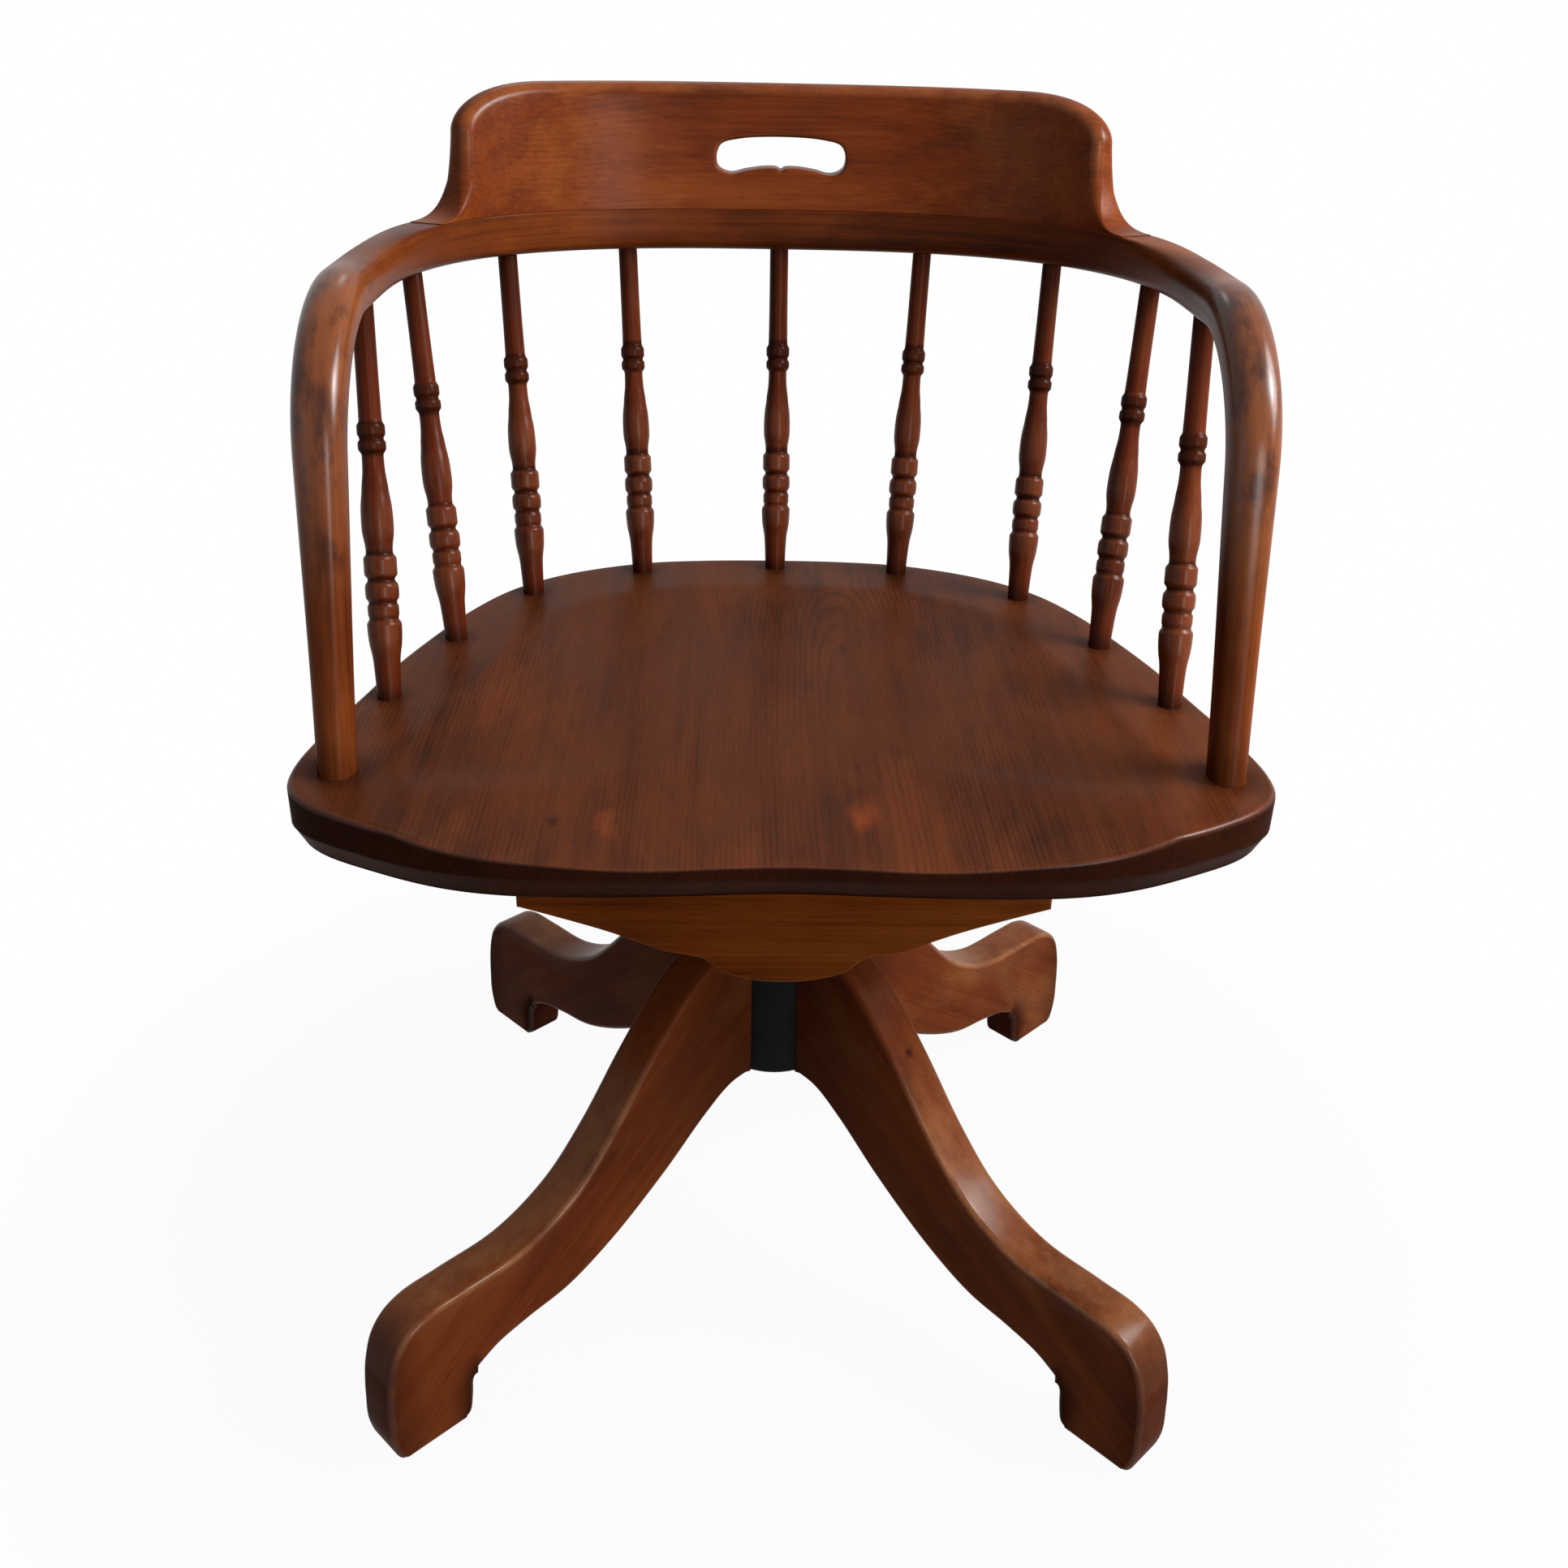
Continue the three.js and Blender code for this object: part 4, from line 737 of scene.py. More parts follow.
def bow_ring(distance, mirror):
    """One ring's points, grain, wear and painted shade; left is the way that is left to the arm's
    foot.
    """
    point, along, inward, upward = bow_frame(distance)
    left = BOW_LENGTH - distance
    full = smooth(0, ARM_TAPER_HEIGHT, left)
    turns = full_turn(BOW_SIDES)
    flat = smooth(BOW_ROUND_RUN, BOW_FLAT_RUN, distance)
    squarer = np.where(np.cos(turns) > 0, BOW_FLAT_POWER, BOW_BACK_POWER)
    round_power = BOW_SECTION_POWER + 0.22 * smooth(0.60, 0.44, left)
    power = np.where(np.sin(turns) > 0, round_power + (squarer - round_power) * flat,
                     round_power - 0.15 * flat)
    over = powered(np.sin(turns), power)
    across = powered(np.cos(turns), power) / 2 * (
        ARM_FOOT_WIDTH + (BOW_WIDTH - ARM_FOOT_WIDTH) * full)
    high = over / 2 * (ARM_FOOT_LENGTH + (BOW_HEIGHT - ARM_FOOT_LENGTH) * full)
    ring = point + np.outer(across, inward) + np.outer(high, upward)
    if left < FIT:
        ring += np.outer((point[2] - ring[:, 2]) / along[2], along)
    grain = np.column_stack([np.full(BOW_SIDES, distance * mirror), across, high])
    arm_top = smooth(0.08, 0.20, left) * smooth(0.36, 0.27, left)
    rub = arm_top * (0.08 + 0.17 * np.clip(over + 0.2, 0, 1))
    # Painted shade: darker close to the arm's foot, where it meets the seat, and on the bow's top
    # towards the back.
    grime_and_shade = (0.9 * smooth(0.035, 0.0, left)
             + 0.24 * smooth(0.5, 0.9, over) * smooth(0.30, 0.42, left))
    return ring * (mirror, 1, 1) + (0, AXIS_Y, 0), grain, rub, grime_and_shade


bow_places = np.unique(np.concatenate([
    np.arange(0, BOW_LENGTH, RING_SPACING), np.linspace(BOW_LENGTH - 0.004, BOW_LENGTH, 3)]))
stations = [(place, -1) for place in bow_places[::-1]] + [(place, 1) for place in bow_places[1:]]
rings, grains, rubs, bow_shades = zip(*[bow_ring(*station) for station in stations])
bent_bow = mesh_piece("bent_bow", np.vstack(rings), ring_faces(len(stations), BOW_SIDES), bow_wood,
                      60, grain=np.vstack(grains), wear=np.concatenate(rubs),
                      end_grain=np.concatenate(bow_shades))
place_piece(bent_bow, "seat_frame", "bow_wood", "arm_bow")

# %% [markdown]
# ## Boards with eased edges
# The crest, the legs and the bearers are all sawn from boards: a flat outline, a thickness, and
# edges that a maker has rounded over. A Bevel modifier struggles with a hand hole or a curved
# end, so the rounding is part of the mesh: each outline is drawn again a little further in, and
# a little nearer the face, in a few steps of a quarter circle. A face with a hole in it is filled
# with triangles that respect both outlines.


# %% Outline helpers
def turned_left(loop):
    """The same outline, counterclockwise."""
    x, y = loop.T
    area = (x * np.roll(y, -1) - np.roll(x, -1) * y).sum()
    return loop if area > 0 else loop[::-1].copy()


def inset_loop(loop, amount):
    """A closed outline, counterclockwise, moved inwards by an amount at each point."""
    along = unit(unit(np.roll(loop, -1, axis=0) - loop) + unit(loop - np.roll(loop, 1, axis=0)))
    return loop + along[:, ::-1] * (-1, 1) * np.broadcast_to(amount, len(loop))[:, None]


def inside_loop(points, loop):
    """Which points lie inside a closed outline."""
    x, y = points.T[:, :, None]
    ax, ay = loop.T[:, None]
    bx, by = np.roll(loop, -1, axis=0).T[:, None]
    slope = (bx - ax) * (y - ay) / np.where(by == ay, 1e-12, by - ay) + ax
    return (((ay > y) != (by > y)) & (x < slope)).sum(axis=1) % 2 == 1


def fill_face(loops, spacing):
    """Triangles between an outer outline and its holes, with a grid of points inside."""
    def in_board(points, gap):
        inside = inside_loop(points, inset_loop(loops[0], gap))
        for hole in loops[1:]:
            inside &= ~inside_loop(points, inset_loop(hole, -gap))
        return inside

    low, high = loops[0].min(axis=0), loops[0].max(axis=0)
    grid = np.array(np.meshgrid(*[np.arange(low[axis] + spacing / 2, high[axis], spacing)
                                  for axis in (0, 1)])).reshape(2, -1).T
    grid = grid[in_board(grid, spacing * 0.6)]
    edges, start = [], 0
    for loop in loops:
        edges += [(start + at, start + (at + 1) % len(loop)) for at in range(len(loop))]
        start += len(loop)
    flat, _, triangles, origins, _, _ = geometry.delaunay_2d_cdt(
        [Vector(point) for point in np.vstack([*loops, grid])], edges, [], 0, 1e-7)
    flat = np.array([tuple(point) for point in flat])
    kept = in_board(flat[np.array(triangles)].mean(axis=1), 0)
    return flat, [face for face, ok in zip(triangles, kept) if ok], origins


# %% Board helpers
EASE_STEPS = 6


def eased_board(loops, eases, place, spacing):
    """Points, faces and wear of a board. place(points, side, depth) puts flat points on the
    board's face, side 0 or 1, and depth under it. eases has a rounding for each outline."""
    turns = np.linspace(0, math.pi / 2, EASE_STEPS + 1)
    rows = [(0, turn) for turn in turns] + [(1, turn) for turn in turns[::-1]]
    points, wear, faces, rims, count = [], [], [], ([], []), 0
    inward = [eases[0], *[-ease for ease in eases[1:]]]
    for loop, ease, inset in zip(loops, eases, inward):
        for side, turn in rows:
            flat = inset_loop(loop, inset * (1 - math.sin(turn)))
            points.append(place(flat, side, ease * (1 - math.cos(turn))))
            wear.append(np.full(len(loop), math.sin(2 * turn)))
        faces += [tuple(count + at for at in face)
                  for face in ring_faces(len(rows), len(loop), "open")]
        rims[0].extend(range(count, count + len(loop)))
        count += len(rows) * len(loop)
        rims[1].extend(range(count - len(loop), count))
    flat, triangles, origins = fill_face(
        [inset_loop(loop, inset) for loop, inset in zip(loops, inward)], spacing)
    for side in (0, 1):
        points.append(place(flat, side, np.zeros(len(flat))))
        wear.append(np.zeros(len(flat)))
        own = []
        for index, origin in enumerate(origins):
            on_rim = [rims[side][at] for at in origin if at < len(rims[side])]
            own.append(on_rim[0] if on_rim else count + index)
        faces += [tuple(own[at] for at in face) for face in triangles]
        count += len(flat)
    return np.vstack(points), faces, np.concatenate(wear)


def board_piece(name, points, faces, material, sharp_angle, **values):
    """A piece of a board, with the spare rim points dropped."""
    used = sorted({at for face in faces for at in face})
    number = {at: index for index, at in enumerate(used)}
    faces = [tuple(number[at] for at in face) for face in faces]
    return mesh_piece(name, points[used], faces, material, sharp_angle,
                      **{label: numbers[used] for label, numbers in values.items()})


# %% [markdown]
# ## The crest rail
# A bent board stands on the bow. It is higher in the middle, falls in a round corner at each
# end and flares into a low lip that runs out on the bow. The hand hole has an arched top and
# two scallops below with a small point between. The board's outline is drawn as if it were
# unrolled, then each point is bent back along the bow.

# %% Crest outline
CREST_HEIGHT = 0.0837
CREST_HALF_RUN = 0.243
CREST_CORNER_RUN = 0.070
CREST_CORNER_DROP = 0.031
CREST_CORNER_POWER = 2.2
CREST_SHOULDER_RUN = 0.042
CREST_SHOULDER_RISE = 0.022
CREST_STEEP_POWER = 7
CREST_FLARE_POWER = 2.8
CREST_LIP = 0.0005
CREST_END = CREST_HALF_RUN + CREST_SHOULDER_RUN
HOLE_HALF = 0.047
HOLE_HEIGHT = 0.024
HOLE_TOP_BELOW = 0.036
HOLE_POINTS = 160
HOLE_UPPER_SHARES = [(-1, 0.5), (-0.93, 0.82), (-0.66, 0.97), (0, 1.04), (0.66, 0.97),
                     (0.93, 0.82), (1, 0.5)]
HOLE_UNDER_SHARES = [
    (0.96, 0.16), (0.78, 0), (0.52, 0.1), (0.25, 0.17), (0.06, 0.16), (0, 0.1),
    (-0.06, 0.16), (-0.25, 0.17), (-0.52, 0.1), (-0.78, 0), (-0.96, 0.16)]


def crest_rise(run):
    """The board's height at a distance along the bow."""
    run = np.abs(run)
    corner = np.clip((run - (CREST_HALF_RUN - CREST_CORNER_RUN)) / CREST_CORNER_RUN, 0, 1)
    top = CREST_HEIGHT - CREST_CORNER_DROP * (1 - np.sqrt(1 - corner ** CREST_CORNER_POWER))
    left = 1 - np.clip((run - CREST_HALF_RUN) / CREST_SHOULDER_RUN, 0, 1)
    side_top = CREST_HEIGHT - CREST_CORNER_DROP
    flare = (CREST_LIP + (CREST_SHOULDER_RISE - CREST_LIP) * left ** CREST_FLARE_POWER
             + (side_top - CREST_SHOULDER_RISE) * left ** CREST_STEEP_POWER)
    return np.where(run <= CREST_HALF_RUN, top, flare)


def crest_outline():
    fine = np.linspace(-CREST_END, CREST_END, 4000)
    top = evenly(np.column_stack([fine, crest_rise(fine)]), 330)[::-1]
    foot = np.column_stack([np.linspace(-CREST_END, CREST_END, 200), np.zeros(200)])
    return turned_left(np.vstack([foot, top]))


def hole_outline():
    low = CREST_HEIGHT - HOLE_TOP_BELOW - HOLE_HEIGHT
    shape = [(across * HOLE_HALF, low + rise * HOLE_HEIGHT)
             for across, rise in HOLE_UPPER_SHARES + HOLE_UNDER_SHARES]
    return turned_left(evenly(curve_through(shape, closed=True), HOLE_POINTS + 1)[:-1])


crest_loop, hole_loop = crest_outline(), hole_outline()
print("crest outline:", len(crest_loop), "points, hand hole:", len(hole_loop))

# %% Bent crest
CREST_FOOT_THICKNESS = 0.025
CREST_TOP_THICKNESS = 0.017
CREST_LEAN = 0.010
CREST_ROUND = 0.0080
CREST_CROWN = 0.0006
CREST_FOOT_EASE = 0.0001
CREST_LEAST_EASE = 0.0003
CREST_SPACING = 0.005
HOLE_ROUND = 0.0028
CREST_GAP = 0.00005
CREST_FOOT = BOW_UNDER + BOW_HEIGHT + CREST_GAP
crest_runs = np.linspace(0, CREST_END, 500)
run_places, _, run_inwards, _ = (np.array(part) for part in zip(*map(bow_frame, crest_runs)))


def on_crest(flat, side, depth):
    """Bends flat points of the crest onto the bow; side 0 is the sitter's face."""
    run, height = flat.T
    inset = CREST_LEAN * height / CREST_HEIGHT + (depth if side == 0 else -depth)
    if side == 0:
        inset += CREST_CROWN * (1 - np.maximum(crest_rise(run), height) / CREST_HEIGHT)
    else:
        inset += CREST_FOOT_THICKNESS + (
            CREST_TOP_THICKNESS - CREST_FOOT_THICKNESS) * height / CREST_HEIGHT
    x, y = (np.interp(np.abs(run), crest_runs, run_places[:, axis])
            + np.interp(np.abs(run), crest_runs, run_inwards[:, axis]) * (BOW_WIDTH / 2 - inset)
            for axis in (0, 1))
    return np.column_stack([np.where(run < 0, -x, x), y + AXIS_Y, CREST_FOOT + height])


crest_ease = np.where(crest_loop[:, 1] < 1e-6, CREST_FOOT_EASE, np.minimum(
    CREST_ROUND, np.maximum(crest_rise(crest_loop[:, 0]) / 3, CREST_LEAST_EASE)))
points, faces, wear = eased_board(
    [crest_loop, hole_loop], [crest_ease, np.full(len(hole_loop), HOLE_ROUND)], on_crest,
    CREST_SPACING)
x, y, z = points.T
crest_grain = np.column_stack([x * (1 + np.arctan2(x, BOW_BACK) ** 2), z - CREST_FOOT,
                               y - BOW_BACK])
crest_board = board_piece(
    "crest_board", points, faces, crest_wood, 50, grain=crest_grain,
    wear=wear * 0.35 * smooth(CREST_FOOT + 0.02, CREST_FOOT + 0.06, z))
place_piece(crest_board, "seat_frame", "crest_wood", "crest_rail")

# %% [markdown]
# ## The nine spindles
# All nine are turned to one pattern: a slim foot that swells, a ring and beads low down, a long
# vase shape, a pair of rings, and a plain tapered neck. Each stands on its own line from the
# seat to the bow, so nothing but the line differs. That is a rule that repeats, so Geometry
# Nodes do it: the lines come in, a Float Curve gives the turned radius along each, and Curve to
# Mesh wraps a circle round it.

# %% Spindle lines
SPINDLE_RADIUS = 0.0109
SPINDLE_FOOT_DEPTH = 0.018
SPINDLE_HEAD_DEPTH = 0.014
SPINDLE_INSET = 0.018
FOOT_SPACING = 0.1005
HEAD_SPACING = 0.102
FOOT_PLACES = [-4, -2.98, -1.98, -1.04, 0, 0.95, 1.99, 3.01, 4.02]
HEAD_PLACES = [-4, -2.98, -2.02, -1.11, 0, 1.05, 2.03, 3, 4]


def inset_seat_run():
    """Half of the seat's outline from the back middle forwards, moved in by the inset."""
    even = evenly(outline_run, 481)
    along = unit(np.roll(even, -1, axis=0) - np.roll(even, 1, axis=0))
    run = (even + along[:, ::-1] * (-1, 1) * SPINDLE_INSET)[len(even) // 2:0:-1]
    run[0, 0] = 0
    return run


def spindle_lines():
    run = inset_seat_run()
    lengths = run_lengths(run)
    lines = []
    for foot_place, head_place in zip(FOOT_PLACES, HEAD_PLACES):
        x, y = (np.interp(abs(foot_place) * FOOT_SPACING, lengths, values) for values in run.T)
        foot = np.array([np.sign(foot_place) * x, y + AXIS_Y, SEAT_TOP])
        x, y, _ = on_bow(abs(head_place) * HEAD_SPACING)
        head = np.array([np.sign(head_place) * x, y + AXIS_Y, BOW_UNDER])
        along = unit(head - foot)
        lines.append((foot - along * SPINDLE_FOOT_DEPTH, head + along * SPINDLE_HEAD_DEPTH))
    return lines


lines = spindle_lines()
spindle_length = float(np.mean([np.linalg.norm(b - a) for a, b in lines]))
spindle_seen = spindle_length - SPINDLE_FOOT_DEPTH - SPINDLE_HEAD_DEPTH
print("spindles:", len(lines), "of about", round(spindle_length, 4), "m with their tenons")

# %% [markdown]
# ## Trees of shape nodes
# A tree is built once, with a named input for each size, and a modifier runs it on a source: a
# few points or loose edges that say where the copies go. The inputs are set by their sockets'
# identifiers before the source is first evaluated. Every tree ends in Realize Instances and Set
# Material, and its result is kept as a plain mesh, so each piece is just what shows.

# %% Building a tree
SOCKET_KINDS = {float: "NodeSocketFloat", int: "NodeSocketInt", type(None): "NodeSocketObject"}


def new_tree(name, inputs):
    """A Geometry Nodes tree with named inputs, where None stands for an object."""
    tree = bpy.data.node_groups.new(name, "GeometryNodeTree")
    tree.interface.new_socket("Geometry", in_out="INPUT", socket_type="NodeSocketGeometry")
    for label, value in inputs.items():
        socket = tree.interface.new_socket(label, in_out="INPUT",
                                           socket_type=SOCKET_KINDS[type(value)])
        if value is not None:
            socket.default_value = value
    tree.interface.new_socket("Finish", in_out="INPUT", socket_type="NodeSocketMaterial")
    tree.interface.new_socket("Geometry", in_out="OUTPUT", socket_type="NodeSocketGeometry")
    return tree, tree.nodes.new("NodeGroupInput").outputs


def shape_node(tree, kind, inputs=None, options=None):
    return add_node(tree, "GeometryNode" + kind, options, inputs).outputs[0]


def stored(tree, shape, name, value, kind="FLOAT"):
    return shape_node(tree, "StoreNamedAttribute", {
        "Geometry": shape, "Name": name, "Value": value}, {"data_type": kind})


def named(tree, name, kind="FLOAT"):
    return shape_node(tree, "InputNamedAttribute", {"Name": name}, {"data_type": kind})


def close_tree(tree, given, shape):
    """Ends a tree: its copies are made real and get their finish."""
    real = shape_node(tree, "RealizeInstances", {"Geometry": shape})
    dressed = shape_node(tree, "SetMaterial", {"Geometry": real, "Material": given["Finish"]})
    tree.links.new(dressed, tree.nodes.new("NodeGroupOutput").inputs["Geometry"])
    return tree


# %% Running a tree
def plain_mesh(source):
    """The source's shape with its modifiers worked in; the source itself goes."""
    bpy.context.view_layer.update()
    graph = bpy.context.evaluated_depsgraph_get()
    mesh = bpy.data.meshes.new_from_object(source.evaluated_get(graph),
                                           preserve_all_data_layers=True, depsgraph=graph)
    source.modifiers.clear()
    bpy.data.objects.remove(source)
    return mesh


def run_tree(name, source, tree, values, sharp_angle=35):
    """Runs the tree on the source object and returns its result as a plain piece."""
    modifier = source.modifiers.new(name, "NODES")
    modifier.node_group = tree
    for item in tree.interface.items_tree:
        if item.in_out == "INPUT" and item.name in values:
            modifier[item.identifier] = values[item.name]
    return finished(name, plain_mesh(source), sharp_angle)


def source_object(name, points, edges=(), **values):
    mesh = bpy.data.meshes.new(name)
    mesh.from_pydata([tuple(point) for point in points], edges, [])
    for label, numbers in values.items():
        store_values(mesh, label, numbers)
    return put_in_scene(name, mesh)


def line_source(name, lines, **values):
    """A loose edge for each line, from its start to its end, numbered by which."""
    starts = range(0, 2 * len(lines), 2)
    return source_object(name, [end for line in lines for end in line],
                         [(at, at + 1) for at in starts],
                         which=np.repeat(np.arange(len(lines)), 2), **values)


# %% Turned profile
TURNING_SHARES = [
    (0, 0.65), (0.09, 0.78), (0.16, 0.98), (0.19, 1), (0.206, 0.84), (0.215, 0.9),
    (0.238, 0.9), (0.246, 0.8), (0.256, 0.93), (0.276, 0.97), (0.296, 0.93), (0.306, 0.77),
    (0.32, 0.95), (0.362, 0.95), (0.374, 0.77), (0.445, 0.92), (0.54, 0.76), (0.624, 0.62),
    (0.638, 0.8), (0.654, 0.8), (0.664, 0.68), (0.676, 0.8), (0.696, 0.8), (0.708, 0.66),
    (1, 0.62)]
BEAD_RUN_SHARES = [(0.195, 0.205, 0.378, 0.390), (0.618, 0.630, 0.706, 0.716)]
SPINDLE_STEPS = 240
SPINDLE_SIDES = 28


def turned_width(tree, factor):
    """The turned radius along a spindle, as a share of its widest."""
    shape = add_node(tree, "ShaderNodeFloatCurve", inputs={"Value": factor})
    profile = shape.mapping.curves[0]
    while len(profile.points) < len(TURNING_SHARES):
        profile.points.new(0.5, 0.5)
    for point, (place, wide) in zip(profile.points, TURNING_SHARES):
        point.location = ((SPINDLE_FOOT_DEPTH + place * spindle_seen) / spindle_length, wide)
        point.handle_type = "AUTO_CLAMPED"
    profile.points[0].location = (0, TURNING_SHARES[0][1])
    profile.points[-1].location = (1, TURNING_SHARES[-1][1])
    shape.mapping.update()
    return shape.outputs[0]


def turning_shade(tree, run, wide):
    """Painted shade in the grooves between the beads, and at both ends."""
    share = remapped(tree, run, SPINDLE_FOOT_DEPTH, SPINDLE_FOOT_DEPTH + spindle_seen)
    groove = remapped(tree, wide, SPINDLE_RADIUS * 0.90, SPINDLE_RADIUS * 0.78, 0.0, 0.9)
    painted_crease_shade = calculated(tree, "MAXIMUM", remapped(tree, share, 0.0, 0.05, 0.9, 0.0),
                      remapped(tree, share, 0.80, 1.0, 0.0, 0.8))
    for rises, risen, falls, fallen in BEAD_RUN_SHARES:
        beads = times(tree, remapped(tree, share, rises, risen),
                      remapped(tree, share, falls, fallen, 1.0, 0.0))
        painted_crease_shade = calculated(tree, "MAXIMUM", painted_crease_shade, times(tree, groove, beads))
    return painted_crease_shade


# %% Turned spindles
def turning_tree():
    tree, given = new_tree("turned_on_each_line", {
        "Radius": SPINDLE_RADIUS, "Steps": SPINDLE_STEPS, "Sides": SPINDLE_SIDES})
    curve = shape_node(tree, "MeshToCurve", {"Mesh": given["Geometry"]})
    fine = shape_node(tree, "ResampleCurve", {"Curve": curve, "Count": given["Steps"]})
    along = add_node(tree, "GeometryNodeSplineParameter").outputs
    wide = times(tree, turned_width(tree, along["Factor"]), given["Radius"])
    kept = stored(tree, stored(tree, fine, "run", along["Length"]), "wide", wide)
    circle = shape_node(tree, "CurvePrimitiveCircle", {"Resolution": given["Sides"], "Radius": 1.0})
    circle = stored(tree, circle, "round", shape_node(tree, "InputPosition"), "FLOAT_VECTOR")
    skin = shape_node(tree, "CurveToMesh", {
        "Curve": kept, "Profile Curve": circle, "Scale": wide, "Fill Caps": True})
    which, run, wide = (named(tree, label) for label in ("which", "run", "wide"))
    ring = add_node(tree, "ShaderNodeSeparateXYZ", inputs={
        "Vector": named(tree, "round", "FLOAT_VECTOR")}).outputs
    grain = combined(tree, plus(tree, run, times(tree, which, 0.731)),
                     plus(tree, times(tree, ring["X"], wide), times(tree, which, 0.037)),
                     times(tree, ring["Y"], wide))
    skin = stored(tree, skin, "grain", grain, "FLOAT_VECTOR")
    rubbed = remapped(tree, wide, SPINDLE_RADIUS * 0.74, SPINDLE_RADIUS * 0.96, 0.0, 0.30)
    skin = stored(tree, skin, "wear", rubbed)
    return close_tree(tree, given, stored(tree, skin, "end_grain", turning_shade(tree, run, wide)))


nine_spindles = run_tree("nine_spindles", line_source("spindle_lines", lines), turning_tree(),
                         {"Finish": spindle_wood}, 50)
place_piece(nine_spindles, "seat_frame", "spindle_wood",
            *[f"spindle_{number}" for number in range(1, 10)])


# %% Painted shade round the feet on the seat
def shaded_round_feet(piece, feet, near, far, strongest):
    """Darkens the finish round each foot: painted shade where the feet meet the seat."""
    places = np.array([vertex.co for vertex in piece.data.vertices])
    store = piece.data.attributes["end_grain"]
    kept = np.zeros(len(places), np.float32)
    store.data.foreach_get("value", kept)
    for foot in feet:
        gap = np.linalg.norm(places - foot, axis=1)
        kept = np.maximum(kept, strongest * smooth(far, near, gap))
    store.data.foreach_set("value", kept.astype(np.float32))


arm_feet = [bow_run[-1] * (side, 1, 1) + (0, AXIS_Y, -FIT) for side in (-1, 1)]
spindle_feet = [foot + (head - foot) * SPINDLE_FOOT_DEPTH / spindle_length for foot, head in lines]
# Painted shade round the spindles' and the arms' feet.
shaded_round_feet(saddled_seat, spindle_feet, 0.009, 0.022, 0.45)
shaded_round_feet(saddled_seat, arm_feet, 0.012, 0.034, 0.6)
print("grime round", len(spindle_feet) + len(arm_feet), "feet")

# %% [markdown]
# ## The four legs
# Each leg is sawn from a plank. From the hub it drops in a long S to a flat foot, with a notch at
# the heel. One leg is made as an eased board, and a small tree of nodes sets it at the four
# corners, because all four are cut to one pattern. Each copy gets its own stretch of grain.

# %% Leg shape
LEG_REACH = 0.3545
LEG_THICKNESS = 0.033
LEG_EASE = 0.0042
FOOT_EASE = 0.0034
COPED_RUN = 0.012
BOARD_SPACING = 0.012
SHARP_EDGE = 0.0005
HUB_RADIUS = 0.042
HUB_SIDE = HUB_RADIUS + FIT
HUB_ABOVE_LEGS = 0.016
HUB_TOP = hub_high.z
HUB_BOTTOM = hub_low.z
LEG_TOP = HUB_TOP - HUB_ABOVE_LEGS
GRAIN_SLOPE = math.radians(-36)
LEG_UPPER_SHARES = [
    (0.165, 0.995), (0.253, 0.944), (0.32, 0.862), (0.386, 0.765), (0.485, 0.605),
    (0.577, 0.493), (0.693, 0.425), (0.823, 0.414), (0.900, 0.408), (0.942, 0.385)]
LEG_END_SHARES = [(0.972, 0.340), (0.990, 0.268), (0.997, 0.20), (0.999, 0.16), (1, 0.075),
                  (0.985, 0.008), (0.972, 0)]
LEG_HEEL_SHARES = [(0.845, 0), (0.831, 0.015), (0.823, 0.066), (0.817, 0.12), (0.808, 0.124)]
LEG_UNDER_SHARES = [
    (0.806, 0.146), (0.76, 0.176), (0.69, 0.196), (0.592, 0.216), (0.479, 0.28),
    (0.344, 0.392), (0.231, 0.505), (0.165, 0.555), (0.1, 0.567)]


def leg_curve(shares, steps, start=()):
    return curve_through([*start, *[(out * LEG_REACH, up * LEG_TOP) for out, up in shares]],
                         steps=steps)


def leg_outline():
    upper = leg_curve(LEG_UPPER_SHARES + LEG_END_SHARES, 12, [(HUB_SIDE, LEG_TOP)])
    heel = leg_curve(LEG_HEEL_SHARES, 4)
    under = leg_curve(LEG_UNDER_SHARES, 12)
    foot = np.linspace(upper[-1], heel[0], 12)[1:-1]
    inner = np.linspace((HUB_SIDE, under[-1][1]), (HUB_SIDE, LEG_TOP), 14)
    under = under[under[:, 0] > HUB_SIDE + 0.001]
    return turned_left(np.vstack([upper, foot, heel, under, inner[:-1]]))


def on_leg(flat, side, depth):
    """Puts flat points on a leg's left or right face; the inner end follows the round hub."""
    out, high = flat.T
    across = np.broadcast_to((LEG_THICKNESS / 2 - depth) * (-1 if side == 0 else 1), out.shape)
    bow = HUB_SIDE - np.sqrt(np.maximum(HUB_SIDE ** 2 - across ** 2, 0))
    near = np.clip(1 - (out - HUB_SIDE) / COPED_RUN, 0, None)
    return np.column_stack([out - bow * near, across, high])


leg_loop = leg_outline()
print("leg outline:", len(leg_loop), "points, top at", round(LEG_TOP, 4), "m")


# %% One leg
def leg_wear_and_highlight(points, wear):
    """Rubbed edges away from the hub, and a foot top worn by shoes and lighter as a painted
    highlight.
    """
    out, _, high = points.T
    top = leg_curve(LEG_UPPER_SHARES + LEG_END_SHARES[:2], 14)
    on_top = smooth(0.006, 0.001, np.interp(out, top[:, 0], top[:, 1]) - high)
    # Wear from shoes, and a painted highlight on the tops of the legs.
    foot_rub_and_highlight = 0.24 * on_top * smooth(0.12, 0.17, out) * smooth(0.362, 0.330, out)
    return wear * 0.22 * smooth(0.09, 0.2, out) + foot_rub_and_highlight


